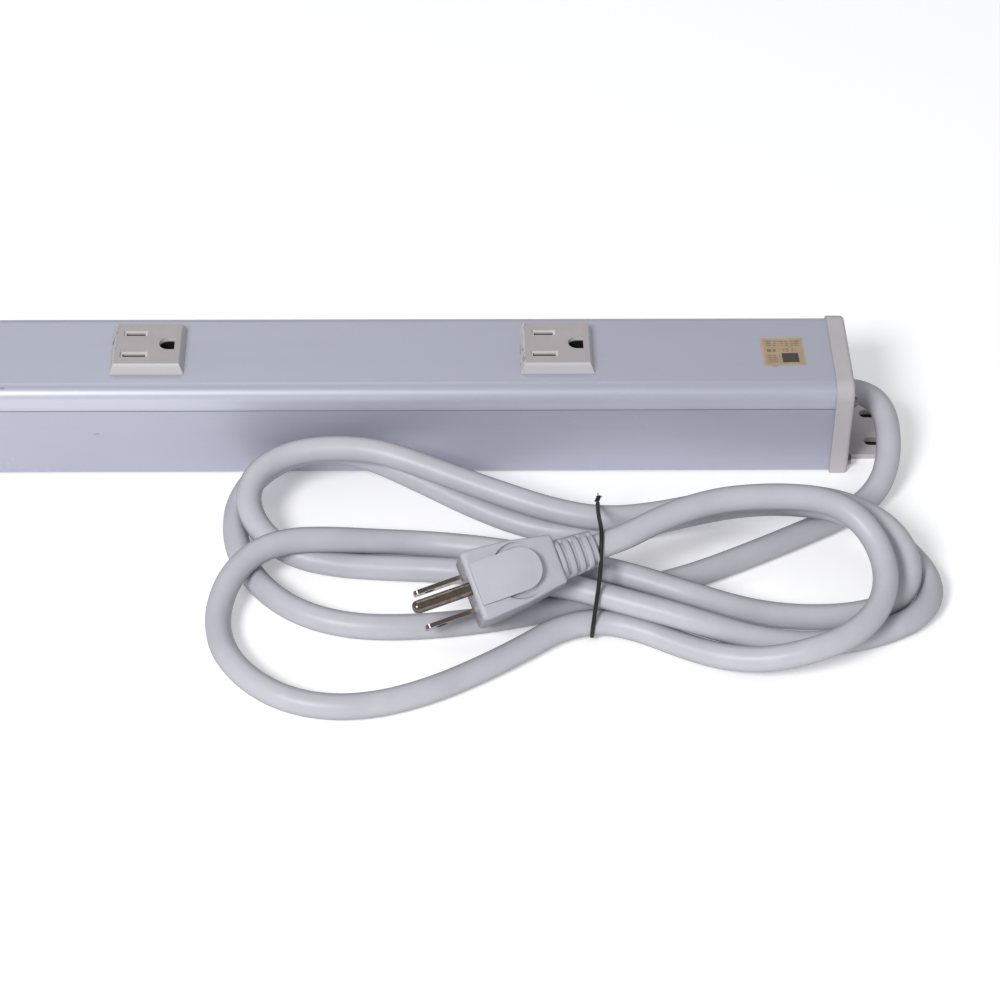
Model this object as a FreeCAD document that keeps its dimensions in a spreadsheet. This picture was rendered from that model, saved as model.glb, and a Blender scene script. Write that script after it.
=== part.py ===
"""Metal-cased relocatable power strip with four grounded outlets and a coiled supply cord.

Millimetres, +Z up. The origin is on the surface that the strip stands on, midway along
the case and midway across it. The long case lies along X, the cord leaves the +X end.
"""
import FreeCAD, Part
import math
import os

import Sketcher

doc = FreeCAD.newDocument("power_strip")
sheet = doc.addObject("Spreadsheet::Sheet", "sizes")

# Driving sizes: alias, value, what it is.
SIZES = [
    ("outlet_pitch", 152.4, "centre to centre of neighbouring outlets"),
    ("plain_end_margin", 42.45, "plain cap outer face to nearest outlet centre"),
    ("cord_end_margin", 109.95, "cord cap outer face to nearest outlet centre"),
    ("case_width", 46.8, "depth of the case front to back"),
    ("case_height", 38.6, "height of the two extrusions together"),
    ("case_wall", 1.6, "wall of both extrusions"),
    ("shoulder_radius", 5.3, "rounding of the two top edges"),
    ("cover_depth", 9.6, "top of the case down to the seam"),
    ("seam_gap", 0.35, "open line between cover and channel"),
    ("lap_depth", 3.4, "cover tongue inside the channel wall"),
    ("lap_thickness", 4.4, "cover tongue with its screw port"),
    ("fit_clearance", 0.15, "clearance of pieces that slot together"),
    ("assembly_clearance", 0.3, "clearance of loose neighbours"),
    ("port_block", 5.8, "square screw port in each lower corner"),
    ("port_bore_radius", 1.2, "bore of a screw port"),
    ("port_depth", 22, "depth of the screw thread in a port"),
    ("cap_thickness", 6.8, "end cap outside the case"),
    ("cap_proud", 1.0, "cap standing out past the case all round"),
    ("cap_edge_radius", 1.4, "soft outer edge of a cap"),
    ("cap_spigot_depth", 4, "spigot reaching into the case"),
    ("ear_length", 17, "mounting ear past the cap face"),
    ("ear_side_gap", 1.8, "side of a mounting ear to the heads of the lower cap screws"),
    ("ear_thickness", 2.2, "mounting ear"),
    ("ear_corner_radius", 3, "rounded ear corners"),
    ("ear_slot_start", 7.9, "cap face to the near end of a slot"),
    ("ear_slot_length", 6.6, "slot end to end"),
    ("ear_slot_width", 4.6, "slot width"),
    ("ear_slot_spacing", 16.5, "slot to slot"),
    ("screw_low_inset", 2.9, "lower cap screw in from the case face"),
    ("screw_low_rise", 2.6, "lower cap screw up from the case underside"),
    ("screw_high_inset", 3.8, "upper cap screw in from the case face"),
    ("screw_high_rise", 0.9, "upper cap screw up from the seam"),
    ("screw_head_radius", 2.6, "cap screw head"),
    ("screw_head_height", 1.5, "cap screw head"),
    ("screw_length", 16, "cap screw under its head"),
    ("screw_recess_width", 0.8, "cross recess arm"),
    ("outlet_size", 27.4, "square foot of the raised outlet face"),
    ("outlet_bevel", 1.7, "sloping edge of the outlet face"),
    ("outlet_rise", 4.1, "outlet face above the case"),
    ("outlet_rim", 1.6, "ledge of the outlet face on the cover"),
    ("outlet_neck_depth", 8, "outlet face below the top of the case"),
    ("blade_offset", 4.85, "outlet centre to the blade slots"),
    ("blade_spacing", 12.7, "blade slot to blade slot"),
    ("ground_offset", 11.9, "blade slots to the ground hole"),
    ("slot_width", 3.3, "blade slot across, with its lead-in"),
    ("line_slot_length", 8.8, "shorter blade slot, with its lead-in"),
    ("neutral_slot_length", 10.2, "longer blade slot, with its lead-in"),
    ("slot_lead_in", 0.8, "lead-in round a blade slot"),
    ("ground_hole_width", 7, "ground hole across"),
    ("ground_hole_length", 5.8, "ground hole round end to flat end"),
    ("housing_length", 32, "inner outlet housing along the case"),
    ("housing_wall_share", 0.6602, "room between outlet neck and cover tongue that housing takes"),
    ("housing_depth", 17.5, "inner outlet housing"),
    ("housing_floor", 3, "floor of the inner outlet housing"),
    ("contact_leaf", 0.5, "sheet of the spring contacts"),
    ("contact_mouth", 2.7, "inside width of a blade contact"),
    ("contact_length", 6.4, "blade contact along the slot"),
    ("contact_height", 7.9, "blade contact"),
    ("stem_width", 1.8, "contact stem to the bus bar"),
    ("ground_tube_radius", 3.3, "outside of the ground contact"),
    ("bus_width", 4, "bus bar"),
    ("bus_thickness", 1.2, "bus bar"),
    ("bus_drop", 2.6, "housing underside to the bus bars"),
    ("liner_thickness", 0.8, "fibre liner in the channel"),
    ("liner_rise", 12, "side of the fibre liner"),
    ("spacer_length", 10, "spacer under the bus bars"),
    ("spacer_side_gap", 1.15, "spacer to the sides of the liner"),
    ("cord_diameter", 9.3, "jacket of the supply cord"),
    ("gland_clearance", 0.25, "cord hole round the cord"),
    ("cord_inside", 24, "cord inside the cap before it is split"),
    ("clamp_length", 9, "inner cord clamp"),
    ("clamp_wall", 2.6, "inner cord clamp round the cord"),
    ("lead_diameter", 2.6, "insulated lead"),
    ("label_length", 15.9, "paper label"),
    ("label_width", 16.6, "paper label"),
    ("label_thickness", 0.15, "paper label"),
    ("label_inset", 24.8, "cord cap outer face to the label centre"),
    ("label_turn", 1.6, "degrees that the label is crooked"),
    ("plug_length", 33, "plug body along the blades"),
    ("plug_front_width", 25.6, "plug body at the face"),
    ("plug_rear_width", 18, "plug body at the strain relief"),
    ("plug_front_height", 19.6, "plug body at the face"),
    ("plug_rear_height", 14, "plug body at the strain relief"),
    ("plug_flange", 2.4, "straight rim behind the plug face"),
    ("plug_edge_radius", 1.6, "soft edges of the plug body"),
    ("plug_pad_rise", 0.9, "raised tongue on the ground side"),
    ("plug_pad_width", 17, "raised tongue"),
    ("plug_pad_length", 27, "raised tongue"),
    ("blade_length", 17.9, "blade past the plug face"),
    ("blade_seat", 8, "pins moulded into the plug body"),
    ("blade_thickness", 1.5, "blade"),
    ("line_blade_width", 6.35, "blade on the line side"),
    ("neutral_blade_width", 6.35, "blade on the neutral side"),
    ("blade_hole_radius", 1.9, "hole near a blade's tip"),
    ("ground_pin_radius", 2.38, "ground pin"),
    ("ground_pin_length", 21.4, "ground pin past the plug face"),
    ("relief_length", 14.0, "strain relief"),
    ("relief_front_radius", 7.4, "strain relief at the plug"),
    ("relief_rear_radius", 6.4, "strain relief at the cord"),
    ("relief_groove", 0.9, "depth of a strain relief groove"),
    ("hank_low_height", 9.4, "hank where it is one cord high"),
    ("hank_high_height", 19, "hank where the turns cross"),
    ("tie_diameter", 1.7, "twist tie"),
]

OUTLETS = 4

# Plug pose: face centre from the cord cap's face and the case front, then yaw, pitch, roll.
PLUG_AT = (-144.1, -93.6, 25.0)
PLUG_TURN = (198.3, 8.8, -36.5)

# Cord from the gland to the hank: from the cap face in X, from the exit axis in Y and Z.
EXIT_ROUTE = [
    (0, 0, 0), (6.7, 0, 0), (11.8, -5.2, -0.4), (14.4, -13.5, -2.2),
    (14.8, -24, -5.8), (12, -35, -10.8), (5.6, -44, -14.9), (-3, -51.5, -15.6),
]

# Hank outlines: from the cord cap's face in X and from the case front in Y.
HANK_OUTLINE = [
    (-236, -72), (-232, -36), (-213, -3.5), (-188, -1), (-120, -32), (-95, -34.5),
    (-40, -20.5), (-14, -20.5), (8, -30), (21, -44), (26, -66), (21, -83),
    (-15, -107), (-35, -116), (-55, -112), (-97, -92.5), (-130, -107), (-180, -134),
    (-201, -133), (-225, -117),
]
HANK_HIGH = [
    (-91, -36), (-40, -21.5), (-14, -21.5), (7.5, -30.5), (20, -44.5), (25, -66),
    (20, -82), (-15, -106), (-35, -115), (-55, -111), (-91, -94),
]
HANK_WINDOWS = [
    [(-215, -33), (-204, -15.5), (-186, -14), (-127, -42.5), (-200, -43.5)],
    [(-212, -66), (-199, -59), (-152, -63), (-152, -81), (-195, -80)],
    [(-222, -82), (-215, -76), (-197, -91), (-130, -93.5), (-180, -122), (-207, -117)],
    [(-72, -38), (-30, -35), (-27, -38), (-68, -55)],
    [(-57, -60), (-18, -44), (-8, -56), (-9, -68), (-30, -79.5), (-50, -77)],
]

# Twist tie round the waist of the hank: along X, Y from the case front, and Z.
TIE_ROUTE = [
    (-97.6, -64, 1.05), (-96.2, -26.2, 1.1), (-95.6, -28, 21), (-95.6, -45, 34),
    (-95.4, -64, 40.8), (-95.6, -84, 40.8), (-97.6, -98.5, 21), (-100.4, -103.2, 1.1),
    (-98.0, -64.6, 1.05),
]


class Term:
    """Number that remembers the spreadsheet expression it comes from."""

    def __init__(self, text, value):
        self.text = text
        self.value = value

    def __float__(self):
        return float(self.value)

    def __add__(self, other):
        return Term("(%s + %s)" % (self.text, as_term(other).text), self.value + float(other))

    def __sub__(self, other):
        return Term("(%s - %s)" % (self.text, as_term(other).text), self.value - float(other))

    def __mul__(self, other):
        return Term("(%s * %s)" % (self.text, as_term(other).text), self.value * float(other))

    def __truediv__(self, other):
        return Term("(%s / %s)" % (self.text, as_term(other).text), self.value / float(other))

    def __neg__(self):
        return self * -1

    def __radd__(self, other):
        return as_term(other) + self

    def __rsub__(self, other):
        return as_term(other) - self

    def __rmul__(self, other):
        return as_term(other) * self


def as_term(number):
    """Term for a plain number; a term stays as it is."""
    if isinstance(number, Term):
        return number
    return Term("%.4f" % number, float(number))


class Sheet:
    """Driving sizes of the spreadsheet, each one an attribute."""

    def __init__(self, rows):
        for line, (alias, value, note) in enumerate(rows, start=1):
            sheet.set("A%d" % line, alias)
            sheet.set("B%d" % line, str(value))
            sheet.set("C%d" % line, note)
            sheet.setAlias("B%d" % line, alias)
        doc.recompute()
        for alias, _value, _note in rows:
            setattr(self, alias, Term("sizes." + alias, float(sheet.get(alias))))


s = Sheet(SIZES)

# Places that several pieces share.
LENGTH = s.plain_end_margin + s.outlet_pitch * (OUTLETS - 1) + s.cord_end_margin
END_X = LENGTH / 2
JOINT_X = END_X - s.cap_thickness
HALF_WIDTH = s.case_width / 2
CASE_LOW = s.cap_proud
CASE_TOP = s.cap_proud + s.case_height
SEAM_Z = CASE_TOP - s.cover_depth
EXIT_Z = s.cap_proud + s.case_height / 2
CHANNEL_FLOOR = CASE_LOW + s.case_wall
WALL_INNER = HALF_WIDTH - s.case_wall
PORT_INNER = HALF_WIDTH - s.port_block
LAP_OUTER = WALL_INNER - s.fit_clearance
LAP_INNER = LAP_OUTER - s.lap_thickness
UNDER_COVER = CASE_TOP - s.case_wall
HOUSING_TOP = UNDER_COVER - s.fit_clearance
HOUSING_LOW = HOUSING_TOP - s.housing_depth
NECK_SIZE = s.outlet_size - 2 * s.outlet_rim
NECK_LOW = CASE_TOP - s.outlet_neck_depth
BUS_TOP = HOUSING_LOW - s.bus_drop
BUS_LOW = BUS_TOP - s.bus_thickness
LINER_TOP = CHANNEL_FLOOR + s.liner_thickness
LINER_OUTER = PORT_INNER - s.fit_clearance
LINER_INNER = LINER_OUTER - s.liner_thickness
SPACER_HALF = LINER_INNER - s.spacer_side_gap
HOUSING_HALF = NECK_SIZE / 2 + (LAP_INNER - NECK_SIZE / 2) * s.housing_wall_share
LOW_SCREW = (HALF_WIDTH - s.screw_low_inset, CASE_LOW + s.screw_low_rise)
HIGH_SCREW = (HALF_WIDTH - s.screw_high_inset, SEAM_Z + s.screw_high_rise)
EAR_HALF = LOW_SCREW[0] - s.screw_head_radius - s.ear_side_gap
CAP_HALF = HALF_WIDTH + s.cap_proud
CAP_TOP = CASE_TOP + s.cap_proud
CLAMP_HALF = s.cord_diameter / 2 + s.clamp_wall
CORD_HOLE = s.cord_diameter / 2 + s.gland_clearance
CLAMP_X = JOINT_X - s.cap_spigot_depth - s.assembly_clearance - s.clamp_length
CORD_SPLIT_X = JOINT_X - s.cord_inside
CROSSWISE = {"line": s.blade_spacing / 2, "neutral": -s.blade_spacing / 2, "ground": as_term(0)}


def outlet_x(number):
    """Centre of an outlet, counted from the cord end."""
    return END_X - s.cord_end_margin - number * s.outlet_pitch


def bind(target, prop, term):
    """Bind one property to the spreadsheet."""
    target.setExpression(prop, as_term(term).text)


def place(target, x=0, y=0, z=0):
    """Bind the position of an object."""
    for axis, term in zip("xyz", (x, y, z)):
        bind(target, "Placement.Base." + axis, term)
    return target


def box(name, sizes, corner):
    """Block with its low corner at a place."""
    block = doc.addObject("Part::Box", name)
    for prop, term in zip(("Length", "Width", "Height"), sizes):
        bind(block, prop, term)
    return place(block, *corner)


def rod(name, radius, length, at, axis="Z"):
    """Cylinder that starts at a place and runs along an axis."""
    cylinder = doc.addObject("Part::Cylinder", name)
    bind(cylinder, "Radius", radius)
    bind(cylinder, "Height", length)
    angle = {"Z": 0, "X": 90, "-X": -90}[axis]
    cylinder.Placement.Rotation = FreeCAD.Rotation(FreeCAD.Vector(0, 1, 0), angle)
    return place(cylinder, *at)


def cut(name, base, tool):
    """Boolean difference."""
    result = doc.addObject("Part::Cut", name)
    result.Base = base
    result.Tool = tool
    return result


def fuse(name, shapes):
    """Boolean union; pieces that don't touch stay separate solids."""
    result = doc.addObject("Part::MultiFuse", name)
    result.Shapes = shapes
    return result


def sketch(owner, name, plane, offset=0):
    """Sketch on an origin plane of its own body, moved along the plane's normal."""
    drawing = owner.newObject("Sketcher::SketchObject", name)
    support = next(f for f in owner.Origin.OriginFeatures if f.Role == plane)
    drawing.AttachmentSupport = [(support, "")]
    drawing.MapMode = "FlatFace"
    bind(drawing, "AttachmentOffset.Base.z", offset)
    return drawing


def pin(drawing, kind, item, end, term):
    """Hold one coordinate of a sketch point at a place given by a term."""
    row = Sketcher.Constraint(kind, -1, 1, item, end, float(term))
    bind(drawing, "Constraints[%d]" % drawing.addConstraint(row), term)


def pin_point(drawing, item, end, where):
    """Hold one sketch point at a place given by two terms."""
    for kind, term in zip(("DistanceX", "DistanceY"), where):
        pin(drawing, kind, item, end, term)


def outline(drawing, points):
    """Closed outline of straight lines through points given by terms."""
    corners = [FreeCAD.Vector(float(x), float(y), 0) for x, y in points]
    lines = [drawing.addGeometry(Part.LineSegment(start, stop), False)
             for start, stop in zip(corners, corners[1:] + corners[:1])]
    for line, following in zip(lines, lines[1:] + lines[:1]):
        drawing.addConstraint(Sketcher.Constraint("Coincident", line, 2, following, 1))
    for line, point in zip(lines, points):
        pin_point(drawing, line, 1, point)


def rectangle(drawing, low, high):
    """Rectangle between two corners given by terms."""
    outline(drawing, [low, (high[0], low[1]), high, (low[0], high[1])])


def circle(drawing, centre, radius):
    """Circle round a centre given by terms."""
    middle = FreeCAD.Vector(float(centre[0]), float(centre[1]), 0)
    ring = drawing.addGeometry(
        Part.Circle(middle, FreeCAD.Vector(0, 0, 1), float(radius)), False)
    row = drawing.addConstraint(Sketcher.Constraint("Radius", ring, float(radius)))
    bind(drawing, "Constraints[%d]" % row, radius)
    pin_point(drawing, ring, 3, centre)


def pad(owner, name, drawing, length, side="One side", reverse=False):
    """Solid grown from a sketch."""
    feature = owner.newObject("PartDesign::Pad", name)
    feature.Profile = drawing
    feature.SideType = side
    feature.Reversed = reverse
    bind(feature, "Length", length)
    doc.recompute()
    return feature


def pocket(owner, name, drawing, length=None, side="One side", reverse=False):
    """Recess cut from a sketch, right through where no length is given."""
    before = owner.Shape.Volume
    feature = owner.newObject("PartDesign::Pocket", name)
    feature.Profile = drawing
    feature.SideType = side
    feature.Reversed = reverse
    if length is None:
        feature.Type = "ThroughAll"
    else:
        bind(feature, "Length", length)
    doc.recompute()
    if owner.Shape.Volume > before - 0.01:
        raise ValueError("%s removes nothing" % name)
    return feature


def edges(shape, test, along=None):
    """Names of the edges whose two ends pass a test, all or only those along one axis."""
    found = []
    for number, edge in enumerate(shape.Edges, start=1):
        ends = [vertex.Point for vertex in edge.Vertexes]
        if len(ends) != 2 or not all(test(end) for end in ends):
            continue
        if along is None or near(abs(getattr(ends[0] - ends[1], along)), edge.Length):
            found.append("Edge%d" % number)
    return found


def soften(owner, name, feature, test, radius, along=None):
    """Fillet on the edges of a feature that pass a test."""
    names = edges(feature.Shape, test, along)
    if not names:
        raise ValueError("%s finds no edge" % name)
    rounded = owner.newObject("PartDesign::Fillet", name)
    rounded.Base = (feature, names)
    bind(rounded, "Radius", radius)
    doc.recompute()
    return rounded


def near(number, term):
    """True where a coordinate lies on a named place."""
    return abs(number - float(term)) < 0.02


def new_body(name):
    """Empty body with its own label."""
    owner = doc.addObject("PartDesign::Body", name)
    owner.Label = name
    return owner


def turn_to_plain_end(target):
    """Turn a piece built at the cord end so that it sits at the plain end."""
    target.Placement = FreeCAD.Placement(
        FreeCAD.Vector(), FreeCAD.Rotation(FreeCAD.Vector(0, 0, 1), 180))


def screw_ports(owner, name, screws, span):
    """Bores that run the whole length of an extrusion."""
    drawing = sketch(owner, name + "_sketch", "YZ_Plane")
    for across, height in screws:
        circle(drawing, (across, height), s.port_bore_radius)
        circle(drawing, (-across, height), s.port_bore_radius)
    pocket(owner, name, drawing, span, side="Symmetric")


def base_channel():
    """Lower extrusion: a U with a screw port in each lower corner."""
    owner = new_body("base_channel")
    drawing = sketch(owner, "channel_section", "YZ_Plane")
    half = [(HALF_WIDTH, CASE_LOW), (HALF_WIDTH, SEAM_Z), (WALL_INNER, SEAM_Z),
            (WALL_INNER, CASE_LOW + s.port_block), (PORT_INNER, CASE_LOW + s.port_block),
            (PORT_INNER, CHANNEL_FLOOR)]
    outline(drawing, half + [(-y, z) for y, z in reversed(half)])
    pad(owner, "channel_length", drawing, JOINT_X * 2, side="Symmetric")
    screw_ports(owner, "channel_ports", [LOW_SCREW], JOINT_X * 2)
    return owner


def top_cover():
    """Upper extrusion with rounded shoulders, a lapping tongue and the outlet openings."""
    owner = new_body("top_cover")
    drawing = sketch(owner, "cover_section", "YZ_Plane")
    lap_low = SEAM_Z - s.lap_depth
    port_top = HIGH_SCREW[1] + s.port_bore_radius * 2
    rim_low = SEAM_Z + s.seam_gap
    half = [(HALF_WIDTH, CASE_TOP), (HALF_WIDTH, rim_low), (LAP_OUTER, rim_low),
            (LAP_OUTER, lap_low), (LAP_INNER, lap_low), (LAP_INNER, port_top),
            (WALL_INNER, port_top), (WALL_INNER, UNDER_COVER)]
    outline(drawing, half + [(-y, z) for y, z in reversed(half)])
    last = pad(owner, "cover_length", drawing, JOINT_X * 2, side="Symmetric")
    last = soften(owner, "cover_inner_shoulders", last,
                  lambda p: near(abs(p.y), WALL_INNER) and near(p.z, UNDER_COVER),
                  s.shoulder_radius - s.case_wall, along="x")
    soften(owner, "cover_shoulders", last,
           lambda p: near(abs(p.y), HALF_WIDTH) and near(p.z, CASE_TOP), s.shoulder_radius,
           along="x")
    screw_ports(owner, "cover_ports", [HIGH_SCREW], JOINT_X * 2)
    openings = sketch(owner, "cover_openings_sketch", "XY_Plane", UNDER_COVER - 1)
    reach = NECK_SIZE / 2 + s.fit_clearance
    for number in range(OUTLETS):
        centre = outlet_x(number)
        rectangle(openings, (centre - reach, -reach), (centre + reach, reach))
    pocket(owner, "cover_openings", openings, s.case_wall + 2, reverse=True)
    return owner


def end_cap(end):
    """Moulded end cap with a spigot, a slotted mounting ear and four screw holes."""
    owner = new_body("end_cap_" + end)
    section = sketch(owner, "cap_section", "YZ_Plane", JOINT_X)
    rectangle(section, (-CAP_HALF, 0), (CAP_HALF, CAP_TOP))
    last = pad(owner, "cap_plate", section, s.cap_thickness)
    last = soften(owner, "cap_shoulders", last,
                  lambda p: near(abs(p.y), CAP_HALF) and near(p.z, CAP_TOP),
                  s.shoulder_radius + s.cap_proud, along="x")
    soften(owner, "cap_outer_edge", last,
           lambda p: near(p.x, END_X) and p.z > 1, s.cap_edge_radius)
    spigot = sketch(owner, "spigot_section", "YZ_Plane", JOINT_X)
    spigot_half = LAP_INNER - s.assembly_clearance
    spigot_low = CASE_LOW + s.port_block + s.assembly_clearance
    rectangle(spigot, (-spigot_half, spigot_low), (spigot_half, UNDER_COVER - s.assembly_clearance))
    pad(owner, "cap_spigot", spigot, s.cap_spigot_depth, reverse=True)
    plan = sketch(owner, "ear_plan", "XY_Plane")
    ear_root = END_X - s.cap_thickness / 2
    rectangle(plan, (ear_root, -EAR_HALF), (END_X + s.ear_length, EAR_HALF))
    last = pad(owner, "cap_ear", plan, s.ear_thickness)
    soften(owner, "ear_corners", last,
           lambda p: near(p.x, END_X + s.ear_length) and near(abs(p.y), EAR_HALF),
           s.ear_corner_radius, along="z")
    slots = sketch(owner, "ear_slots_sketch", "XY_Plane")
    for side in (1, -1):
        ear_slot(slots, side * s.ear_slot_spacing / 2)
    pocket(owner, "ear_slots", slots, s.ear_thickness, reverse=True)
    holes = sketch(owner, "cap_screw_holes_sketch", "YZ_Plane", END_X)
    for across, height in (LOW_SCREW, HIGH_SCREW):
        for side in (1, -1):
            circle(holes, (side * across, height), s.port_bore_radius + s.fit_clearance)
    if end == "cord":
        circle(holes, (as_term(0), EXIT_Z), CORD_HOLE)
    pocket(owner, "cap_screw_holes", holes)
    if end == "plain":
        turn_to_plain_end(owner)
    return owner


def ear_slot(drawing, across):
    """One slot of a mounting ear, an outline with rounded ends along X."""
    half = s.ear_slot_width / 2
    near_x = END_X + s.ear_slot_start + half
    far_x = END_X + s.ear_slot_start + s.ear_slot_length - half
    low, high = across - half, across + half
    first = line_between(drawing, (near_x, low), (far_x, low))
    second = line_between(drawing, (far_x, high), (near_x, high))
    for middle, start, stop in ((far_x, -90, 90), (near_x, 90, 270)):
        ring = Part.Circle(FreeCAD.Vector(float(middle), float(across), 0),
                           FreeCAD.Vector(0, 0, 1), float(half))
        drawing.addGeometry(
            Part.ArcOfCircle(ring, math.radians(start), math.radians(stop)), False)
    far_arc, near_arc = second + 1, second + 2
    for one, one_end, two, two_end in ((first, 2, far_arc, 1), (far_arc, 2, second, 1),
                                       (second, 2, near_arc, 1), (near_arc, 2, first, 1)):
        drawing.addConstraint(Sketcher.Constraint("Coincident", one, one_end, two, two_end))
    pin_point(drawing, first, 1, (near_x, low))
    pin_point(drawing, first, 2, (far_x, low))
    pin_point(drawing, second, 1, (far_x, high))
    pin_point(drawing, second, 2, (near_x, high))
    pin(drawing, "DistanceX", far_arc, 3, far_x)
    pin(drawing, "DistanceX", near_arc, 3, near_x)


def line_between(drawing, start, stop):
    """Straight sketch line between two places given by terms."""
    ends = [FreeCAD.Vector(float(x), float(y), 0) for x, y in (start, stop)]
    return drawing.addGeometry(Part.LineSegment(*ends), False)


def cap_screws(end):
    """Four cross-head screws that hold an end cap, as one group of solids."""
    screws = []
    places = [(side * across, height) for across, height in (LOW_SCREW, HIGH_SCREW)
              for side in (1, -1)]
    recess_reach = s.screw_head_radius * 1.2
    recess_depth = s.screw_head_height * 0.6
    for number, (across, height) in enumerate(places):
        tag = "%s_screw_%d" % (end, number)
        shank = rod(tag + "_shank", s.port_bore_radius, s.screw_length + s.cap_thickness,
                    (END_X - s.screw_length - s.cap_thickness, across, height), "X")
        head = doc.addObject("Part::Cone", tag + "_head")
        bind(head, "Radius1", s.screw_head_radius)
        bind(head, "Radius2", s.screw_head_radius * 0.72)
        bind(head, "Height", s.screw_head_height)
        head.Placement.Rotation = FreeCAD.Rotation(FreeCAD.Vector(0, 1, 0), 90)
        place(head, END_X, across, height)
        recess_x = END_X + s.screw_head_height - recess_depth
        arms = [box(tag + "_arm_1", (recess_depth * 2, recess_reach, s.screw_recess_width),
                    (recess_x, across - recess_reach / 2, height - s.screw_recess_width / 2)),
                box(tag + "_arm_2", (recess_depth * 2, s.screw_recess_width, recess_reach),
                    (recess_x, across - s.screw_recess_width / 2, height - recess_reach / 2))]
        screws.append(cut(tag, fuse(tag + "_blank", [shank, head]), fuse(tag + "_cross", arms)))
    group = fuse("cap_screws_" + end, screws)
    if end == "plain":
        turn_to_plain_end(group)
    return group


def blade_slot(owner, name, across, length, top):
    """Through slot for a blade, with its lead-in chamfer."""
    for step, (grow, low) in enumerate(((0, None), (s.slot_lead_in, s.slot_lead_in))):
        drawing = sketch(owner, "%s_sketch_%d" % (name, step), "XY_Plane", top)
        reach_x = length / 2 - s.slot_lead_in + grow
        reach_y = s.slot_width / 2 - s.slot_lead_in / 2 + grow / 2
        middle = -s.blade_offset
        rectangle(drawing, (middle - reach_x, across - reach_y), (middle + reach_x, across + reach_y))
        pocket(owner, "%s_%d" % (name, step), drawing, low)


def outlet_face(number):
    """Raised bevelled outlet face with two blade slots and a D-shaped ground hole."""
    owner = new_body("outlet_face_%d" % (number + 1))
    top = CASE_TOP + s.outlet_rise
    foot = sketch(owner, "foot_plan", "XY_Plane", CASE_TOP)
    half = s.outlet_size / 2
    rectangle(foot, (-half, -half), (half, half))
    last = pad(owner, "raised_face", foot, s.outlet_rise)
    bevel = owner.newObject("PartDesign::Chamfer", "face_bevel")
    bevel.Base = (last, edges(last.Shape, lambda p: near(p.z, top)))
    bevel.ChamferType = "Two distances"
    bind(bevel, "Size", s.outlet_rise * 0.93)
    bind(bevel, "Size2", s.outlet_bevel)
    doc.recompute()
    if not near(bevel.Shape.BoundBox.XLength, s.outlet_size):
        raise ValueError("bevel changed the foot of the outlet face")
    neck = sketch(owner, "neck_plan", "XY_Plane", CASE_TOP)
    rectangle(neck, (-NECK_SIZE / 2, -NECK_SIZE / 2), (NECK_SIZE / 2, NECK_SIZE / 2))
    pad(owner, "neck", neck, s.outlet_neck_depth, reverse=True)
    blade_slot(owner, "line_slot", s.blade_spacing / 2, s.line_slot_length, top)
    blade_slot(owner, "neutral_slot", -s.blade_spacing / 2, s.neutral_slot_length, top)
    ground_hole(owner, top)
    return place(owner, outlet_x(number))


def ground_hole(owner, top):
    """Ground hole: round towards the blade slots and flat on the far side."""
    drawing = sketch(owner, "ground_hole_sketch", "XY_Plane", top)
    radius = s.ground_hole_width / 2
    middle = s.ground_offset - s.blade_offset + radius - s.ground_hole_length / 2
    flat = middle + s.ground_hole_length - radius
    ends = [(middle, -radius), (flat, -radius), (flat, radius), (middle, radius)]
    sides = [line_between(drawing, start, stop) for start, stop in zip(ends, ends[1:])]
    ring = Part.Circle(FreeCAD.Vector(float(middle), 0, 0), FreeCAD.Vector(0, 0, 1), float(radius))
    arc = drawing.addGeometry(Part.ArcOfCircle(ring, math.pi / 2, math.pi * 1.5), False)
    chain = sides + [arc]
    for one, two in zip(chain, chain[1:] + chain[:1]):
        drawing.addConstraint(Sketcher.Constraint("Coincident", one, 2, two, 1))
    for line, point in zip(sides, ends):
        pin_point(drawing, line, 1, point)
    pin_point(drawing, sides[2], 2, ends[3])
    pin(drawing, "DistanceX", arc, 3, middle)
    pocket(owner, "ground_hole", drawing)


def outlet_housing(number):
    """Inner housing under an outlet: a pocket for the face and chambers for the contacts."""
    owner = new_body("outlet_housing_%d" % (number + 1))
    plan = sketch(owner, "housing_plan", "XY_Plane", HOUSING_LOW)
    half_x, half_y = s.housing_length / 2, HOUSING_HALF
    rectangle(plan, (-half_x, -half_y), (half_x, half_y))
    pad(owner, "housing_block", plan, s.housing_depth)
    seat = sketch(owner, "seat_plan", "XY_Plane", HOUSING_TOP)
    reach = NECK_SIZE / 2 + s.fit_clearance
    rectangle(seat, (-reach, -reach), (reach, reach))
    pocket(owner, "face_seat", seat, HOUSING_TOP - NECK_LOW + s.fit_clearance)
    chambers = sketch(owner, "chamber_plan", "XY_Plane", NECK_LOW)
    room_x = s.contact_length / 2 + s.assembly_clearance
    room_y = s.contact_mouth / 2 + s.contact_leaf + s.assembly_clearance
    for across in (CROSSWISE["line"], CROSSWISE["neutral"]):
        rectangle(chambers, (-s.blade_offset - room_x, across - room_y),
                  (-s.blade_offset + room_x, across + room_y))
    tube_x = s.ground_offset - s.blade_offset
    circle(chambers, (tube_x, as_term(0)), s.ground_tube_radius + s.assembly_clearance)
    pocket(owner, "contact_chambers", chambers, NECK_LOW - HOUSING_LOW - s.housing_floor)
    stems = sketch(owner, "stem_plan", "XY_Plane", NECK_LOW)
    stem_half = s.stem_width / 2 + s.fit_clearance
    for middle, across in ((-s.blade_offset, CROSSWISE["line"]),
                           (-s.blade_offset, CROSSWISE["neutral"]), (tube_x, as_term(0))):
        rectangle(stems, (middle - stem_half, across - stem_half),
                  (middle + stem_half, across + stem_half))
    pocket(owner, "stem_holes", stems)
    return place(owner, outlet_x(number))


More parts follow.
